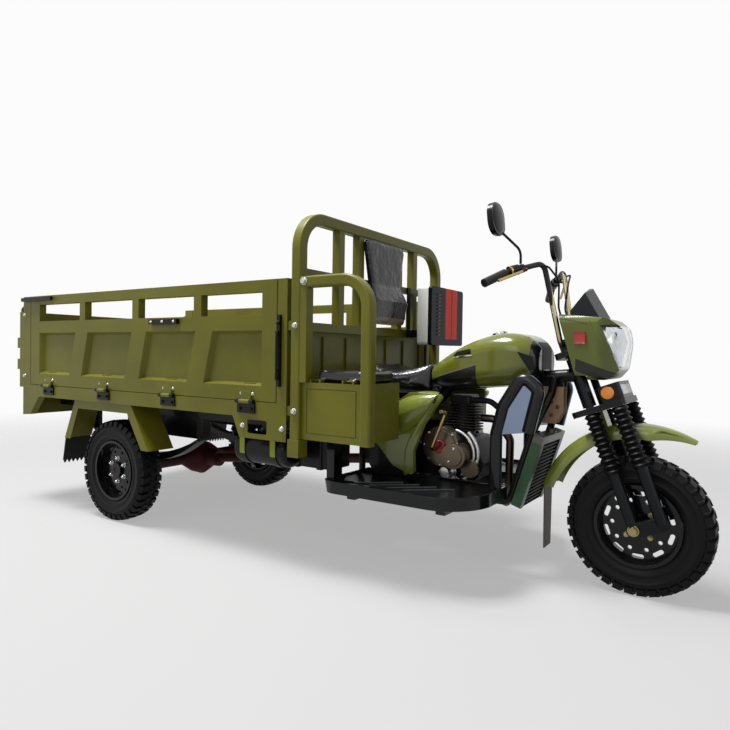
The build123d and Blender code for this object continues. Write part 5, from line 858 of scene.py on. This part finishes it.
for row in range(LOUVRE_COUNT):
    spot = Vector((case_high.x / MM + LOUVRE_PROUD, LOUVRE_Y, LOUVRE_LOW_Z + row * LOUVRE_PITCH)) * MM
    add_block(bm, LOUVRE_SIZE, Matrix.Translation(spot) @ Matrix.Rotation(LOUVRE_TILT, 4, "Y"), LOUVRE_ROUND)
add_piece("case_louvres", bm, black_abs, "chassis")

# Fork: dark satin steel legs in ribbed rubber bellows, with link plates at the axle.
# Yellow zinc nuts hold the axle, a round amber reflector is stuck on each side of the lamp,
# and a strip of brown rubber hangs behind the wheel.
link_steel = coating("satin_dark_steel", "#0F1114", "#191B1F", 0.34, metallic=0.3, shine=0.2)
dress(link_steel, "fork_legs")
bellows = coating("moulded_bellows_rubber", "#060608", "#0B0B0E", 0.4, grain_mm=3, grain=0.1, shine=0.15)
dress(bellows, "fork_gaiters")
brown_rubber = coating("brown_sheet_rubber", "#4A4036", "#5E5245", 0.55, grain_mm=6, grain=0.2)
dress(brown_rubber, "front_flap")
amber_acrylic = coating("amber_acrylic", "#E07C08", "#FF9A14", 0.18, coat=0.8, grain_mm=5, grain=0.3)
AXLE_X, AXLE_Z = 1605.9, 272.5
AXLE_NUT = (30, 16)
LAMP_X, LAMP_Z = 1498.9, 788
AMBER = ((-3, 0), (-3, 25), (4, 25), (6, 23), (7.5, 12), (8, 0))
bm = bmesh.new()
reflectors = bmesh.new()
for side in (-1, 1):
    bolt_beside(bm, "fork_legs", side, AXLE_X, AXLE_Z, AXLE_NUT)
    spot, normal = seat_beside("fork_lamp", side, LAMP_X, LAMP_Z)
    lathe(reflectors, AMBER, spot, normal, Z_AXIS, 36)
add_piece("front_axle_nuts", bm, yellow_zinc, "steering")
add_piece("fork_reflectors", reflectors, amber_acrylic, "steering")

# Handlebar and controls: bent tube plated in yellow zinc with black ends, ribbed rubber grips,
# black switch housings with a plated lever, and domed mirrors on bent stalks.
bar_plate = coating("zinc_bar_with_black_ends", "#8F8765", "#BDB48E", 0.25, metallic=1, grain=0.02)
paint_zone(bar_plate, "#0C0C0D", ((Y_AXIS, True, 128, 420),), gloss=0.35, metallic=0)
dress(bar_plate, "handlebar")
switch_plastic = coating("switch_plastic_and_plated_lever", "#09090B", "#111114", 0.3, coat=0.1, shine=0.15)
paint_zone(switch_plastic, "#B79A62", ((Y_AXIS, True, 287, 420),), gloss=0.3, metallic=1)
dress(switch_plastic, "bar_controls")
grip_rubber = coating("ribbed_grip_rubber", "#0C0C0D", "#151516", 0.5, grain_mm=6, grain=0.5)
dress(grip_rubber, "grips")
mirror_black = coating("gloss_black_mirror_abs", "#070708", "#0D0D10", 0.3, coat=0.1, shine=0.12)
dress(mirror_black, "mirrors")
mirror_glass = coating("silvered_glass", "#D4D8DA", "#DDE1E3", 0.03, metallic=1, grain=0)
MIRROR_X, MIRROR_Y, MIRROR_Z = 1127.9, 380, 1445
MIRROR_LEAN = Vector((1, 0, 0.1)).normalized()
SHELL_AHEAD = 14
SHELL_SIZE = (66, 65, 17)
GLASS_RADIUS, GLASS_PROUD = 56, 0.4
GLASS_RIM, GLASS_STEP = 2, 1.2
shells = bmesh.new()
glasses = bmesh.new()
for side in (-1, 1):
    back = Vector((MIRROR_X, side * MIRROR_Y, MIRROR_Z)) * MM
    made = bmesh.ops.create_uvsphere(shells, u_segments=40, v_segments=20, radius=1)["verts"]
    cut = bmesh.ops.bisect_plane(shells, geom=made + edges_of(made) + faces_of(made), plane_co=(0, 0, 0),
                                 plane_no=Z_AXIS, clear_inner=True)
    half = [item for item in cut["geom"] if isinstance(item, bmesh.types.BMVert)]
    bmesh.ops.scale(shells, vec=Vector(SHELL_SIZE) * MM, verts=half)
    bmesh.ops.transform(shells, matrix=facing(back + MIRROR_LEAN * SHELL_AHEAD * MM, MIRROR_LEAN), verts=half)
    glass_place = facing(back - MIRROR_LEAN * GLASS_PROUD * MM, -MIRROR_LEAN)
    plate = bmesh.ops.create_circle(glasses, segments=48, radius=GLASS_RADIUS * MM, cap_ends=True,
                                    matrix=glass_place)["verts"]
    bmesh.ops.inset_region(glasses, faces=faces_of(plate), thickness=GLASS_RIM * MM, depth=GLASS_STEP * MM)
bmesh.ops.holes_fill(shells, edges=[link for link in shells.edges if link.is_boundary])
add_piece("mirror_shells", shells, mirror_black, "steering")
add_piece("mirror_glass", glasses, mirror_glass, "steering")

# Front fender: olive plastic moulding over the wheel, the same as the side covers.
# It has a rounded crown with a skirt on each side, and narrows to a thin tip.
dress(olive_plastic, "front_fender")
FENDER_CROWN = 398
FENDER_SECTION = (
    # across and radius in mm, from one skirt over the crown to the other
    (-68, 340), (-68.5, 362), (-58, 386), (-30, 395),
    (0, FENDER_CROWN), (30, 395), (58, 386), (68.5, 362), (68, 340),
)
FENDER_FROM, FENDER_TO = 161, 60
FENDER_WALL = 2.5
TAPER_FROM, TAPER_TO, TIP_SHARE = 1646, 1803, 0.16
bm = bmesh.new()
front_hub = Vector((AXLE_X, 0, AXLE_Z)) * MM
first = Matrix.Rotation(math.radians(90 - FENDER_FROM), 3, "Y")
section = [bm.verts.new(front_hub + first @ Vector((0, across, radius)) * MM)
           for across, radius in FENDER_SECTION]
section += [bm.edges.new(pair) for pair in zip(section, section[1:])]
bmesh.ops.spin(bm, geom=section, cent=front_hub, axis=Y_AXIS, steps=48,
               angle=math.radians(FENDER_FROM - FENDER_TO))
for vert in bm.verts:
    ahead = (vert.co.x / MM - TAPER_FROM) / (TAPER_TO - TAPER_FROM)
    ahead = min(max(ahead, 0), 1)
    vert.co.y *= 1 - (1 - TIP_SHARE) * ahead
    spoke = Vector((vert.co.x - front_hub.x, 0, vert.co.z - front_hub.z))
    depth = FENDER_CROWN * MM - spoke.length
    vert.co += spoke.normalized() * depth * (1 - TIP_SHARE) * ahead
bmesh.ops.recalc_face_normals(bm, faces=bm.faces)
bmesh.ops.solidify(bm, geom=list(bm.faces), thickness=FENDER_WALL * MM)
add_piece("front_fender_crown", bm, olive_plastic, "steering", sharp_deg=60)

# Nacelle: olive moulded lamp housing with raised beads and a near-black chin of painted shade, bolted to the
# fork.
# A clear lens covers a bright plated reflector, a smoked screen stands above it,
# and a red reflector is stuck on each cheek.
nacelle_plastic = coating("olive_plastic_with_painted_shade_chin", "#565F20", "#626B28", 0.28, coat=0.2, grain=0.02,
                          shine=0.25)
CHIN_UP = (0.35, 0, 0.937)
SHADED_CHIN = ((CHIN_UP, False, 1300, 1345), (X_AXIS, False, 1380, 1560))
# Painted shade: the lower front of the nacelle is painted near black.
paint_zone(nacelle_plastic, "#0F100C", SHADED_CHIN)
dress(nacelle_plastic, "nacelle")
clear_lens, _, _, lens_shader = start_material("clear_polycarbonate")
set_shader(lens_shader, {"Base Color": linear("#F4F6F7"), "Roughness": 0.03, "IOR": 1.2,
                         "Transmission Weight": 1, "Coat Weight": 0.5})
dress(clear_lens, "headlamp_lens", "fork_lamp_lens")
smoke_acrylic = coating("smoked_acrylic", "#0B0E11", "#12161A", 0.18, coat=0.1, edge_mm=1, grain=0,
                        shine=0.2)
dress(smoke_acrylic, "windscreen")
bright_metal = coating("vacuum_plated_reflector", "#C8CBCD", "#F2F4F5", 0.12, metallic=0.9, grain_mm=16,
                       grain=1)
red_acrylic = coating("red_prism_acrylic", "#9E1410", "#C92A1E", 0.2, coat=0.7, grain_mm=8, grain=0.8)
BEADS = (
    # forward, outward and height in mm of the four corners
    ((1316, 120, 1078), (1430, 120, 1058), (1432, 120, 1067), (1316, 120, 1087)),
    ((1424, 120, 1058), (1470, 120, 940), (1479, 120, 943), (1433, 120, 1063)),
)
BEAD_LIFT, BEAD_THICK = 1.5, 3
REFLECTOR_SHARE = 0.9
REFLECTOR_BACK = 6
CHEEK_X, CHEEK_Z = 1395.9, 1001
CHEEK_SIZE, CHEEK_ROUND = (46, 46, 12), 1.5
CHEEK_RIM, CHEEK_STEP = 5, -2.5
bm = bmesh.new()
for side in (-1, 1):
    for bead in BEADS:
        drape(bm, "nacelle", on_side(side, bead), (0, -side, 0), BEAD_LIFT, BEAD_THICK, (12, 2))
add_piece("nacelle_beads", bm, nacelle_plastic, "steering")
bm = copy_of("headlamp_lens")
lens_low, lens_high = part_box("headlamp_lens")
lens_middle = (lens_low + lens_high) / 2
bmesh.ops.scale(bm, vec=Vector((1, 1, 1)) * REFLECTOR_SHARE, verts=bm.verts,
                space=Matrix.Translation(-lens_middle))
bmesh.ops.translate(bm, vec=(-REFLECTOR_BACK * MM, 0, 0), verts=bm.verts)
add_piece("headlamp_reflector", bm, bright_metal, "steering")
bm = bmesh.new()
for side in (-1, 1):
    spot, normal = seat_beside("nacelle", side, CHEEK_X, CHEEK_Z)
    made = bmesh.ops.create_cube(bm, size=1)["verts"]
    bmesh.ops.scale(bm, vec=Vector(CHEEK_SIZE) * MM, verts=made)
    upright = Matrix.Translation(spot) @ normal.to_track_quat("Z", "X").to_matrix().to_4x4()
    bmesh.ops.transform(bm, matrix=upright, verts=made)
    front = max(faces_of(made), key=lambda face: face.calc_center_median().dot(normal))
    bmesh.ops.inset_region(bm, faces=[front], thickness=CHEEK_RIM * MM, depth=CHEEK_STEP * MM)
    round_edges(bm, edges_of(made), CHEEK_ROUND, 2)
add_piece("nacelle_reflectors", bm, red_acrylic, "steering")

# Floor: a pale matt paper sheet under the wheels, which fades out into the white backdrop.
# It glows a little to the camera, so that it stays pale and still takes the shadow.
FLOOR_HALF = 12
FLOOR_GLOW = 0.42
FADE_FROM, FADE_TO = 2.6, 8
floor_mesh = bpy.data.meshes.new("studio_floor")
bm = bmesh.new()
bmesh.ops.create_grid(bm, x_segments=1, y_segments=1, size=FLOOR_HALF)
bm.to_mesh(floor_mesh)
bm.free()
floor = bpy.data.objects.new("studio_floor", floor_mesh)
scene.collection.objects.link(floor)


def shown_rays(tree):
    """Tell the rays that show a backdrop as it is: from the camera, off a mirror or through glass."""
    path = add_node(tree, "ShaderNodeLightPath")
    shown = path.outputs["Is Camera Ray"]
    for ray in ("Is Glossy Ray", "Is Transmission Ray"):
        either = add_node(tree, "ShaderNodeMath", {"operation": "MAXIMUM"}, {0: shown, 1: path.outputs[ray]})
        shown = either.outputs["Value"]
    return shown


paper, tree, place, shader = start_material("pale_studio_paper")
set_shader(shader, {"Base Color": linear("#A4A4A4"), "Roughness": 0.9, "Specular IOR Level": 0.1})
reach = add_node(tree, "ShaderNodeVectorMath", {"operation": "LENGTH"}, {0: place})
fade = add_node(tree, "ShaderNodeMapRange",
                {"From Min": FADE_FROM, "From Max": FADE_TO, "interpolation_type": "SMOOTHSTEP"},
                {"Value": reach.outputs["Value"]})
share = add_node(tree, "ShaderNodeMath", {"operation": "MULTIPLY", 1: FLOOR_GLOW}, {0: shown_rays(tree)})
glow = add_node(tree, "ShaderNodeEmission", {"Color": linear("#FAFAFA"), "Strength": 1})
lit = add_node(tree, "ShaderNodeMixShader", {},
               {"Fac": share.outputs["Value"], 1: shader.outputs["BSDF"], 2: glow.outputs["Emission"]})
gone = add_node(tree, "ShaderNodeBsdfTransparent")
blend = add_node(tree, "ShaderNodeMixShader", {},
                 {"Fac": fade.outputs["Result"], 1: lit.outputs["Shader"], 2: gone.outputs["BSDF"]})
tree.links.new(blend.outputs["Shader"], tree.nodes["Material Output"].inputs["Surface"])
floor_mesh.materials.append(paper)

# Light: a large soft lamp high above and a little behind, as in an open yard at noon,
# two weak ones in front, and a dim white sky that shows as a plain white backdrop.
SKY_STRENGTH = 0.16
LAMP_AIM = Vector((0, 0, 0.6))
LAMPS = (
    # name, place in m, size in m, watts
    ("high_softbox", (-2.2, -1.7, 9), 3, 1500),
    ("camera_side_softbox", (0.6, -5, 3.4), 3, 45),
    ("front_softbox", (5.5, -1, 2.6), 2.5, 18),
)
world = bpy.data.worlds.new("studio")
scene.world = world
world.use_nodes = True
tree = world.node_tree
sky = tree.nodes["Background"]
set_shader(sky, {"Color": linear("#FFFFFF"), "Strength": SKY_STRENGTH})
white = add_node(tree, "ShaderNodeBackground", {"Color": linear("#FCFCFC"), "Strength": 1})
mixed = add_node(tree, "ShaderNodeMixShader", {},
                 {"Fac": shown_rays(tree), 1: sky.outputs["Background"], 2: white.outputs["Background"]})
tree.links.new(mixed.outputs["Shader"], tree.nodes["World Output"].inputs["Surface"])
for lamp_name, lamp_place, lamp_size, watts in LAMPS:
    lamp = bpy.data.objects.new(lamp_name, bpy.data.lights.new(lamp_name, "AREA"))
    lamp.data.shape = "SQUARE"
    lamp.data.size = lamp_size
    lamp.data.energy = watts
    lamp.location = lamp_place
    lamp.rotation_euler = (LAMP_AIM - Vector(lamp_place)).to_track_quat("-Z", "Y").to_euler()
    scene.collection.objects.link(lamp)

# Camera: where the photograph was taken from, in metres and degrees, ahead of the right side
# at about the height of the tank.
CAMERA_PLACE = (2.0458, -2.6158, 0.9264)
CAMERA_YAW = 33.84
CAMERA_PITCH = -1.06
CAMERA_ROLL = 0.88
CAMERA_LENS = 30.4
CAMERA_SENSOR = 36
camera = bpy.data.objects.new("camera", bpy.data.cameras.new("camera"))
camera.data.lens = CAMERA_LENS
camera.data.sensor_width = CAMERA_SENSOR
turn = Matrix.Rotation(math.radians(CAMERA_YAW), 4, "Z")
tilt = Matrix.Rotation(math.radians(90 + CAMERA_PITCH), 4, "X")
roll = Matrix.Rotation(math.radians(CAMERA_ROLL), 4, "Z")
camera.matrix_world = Matrix.Translation(CAMERA_PLACE) @ turn @ tilt @ roll
scene.collection.objects.link(camera)
scene.camera = camera
scene.view_settings.view_transform = "Standard"
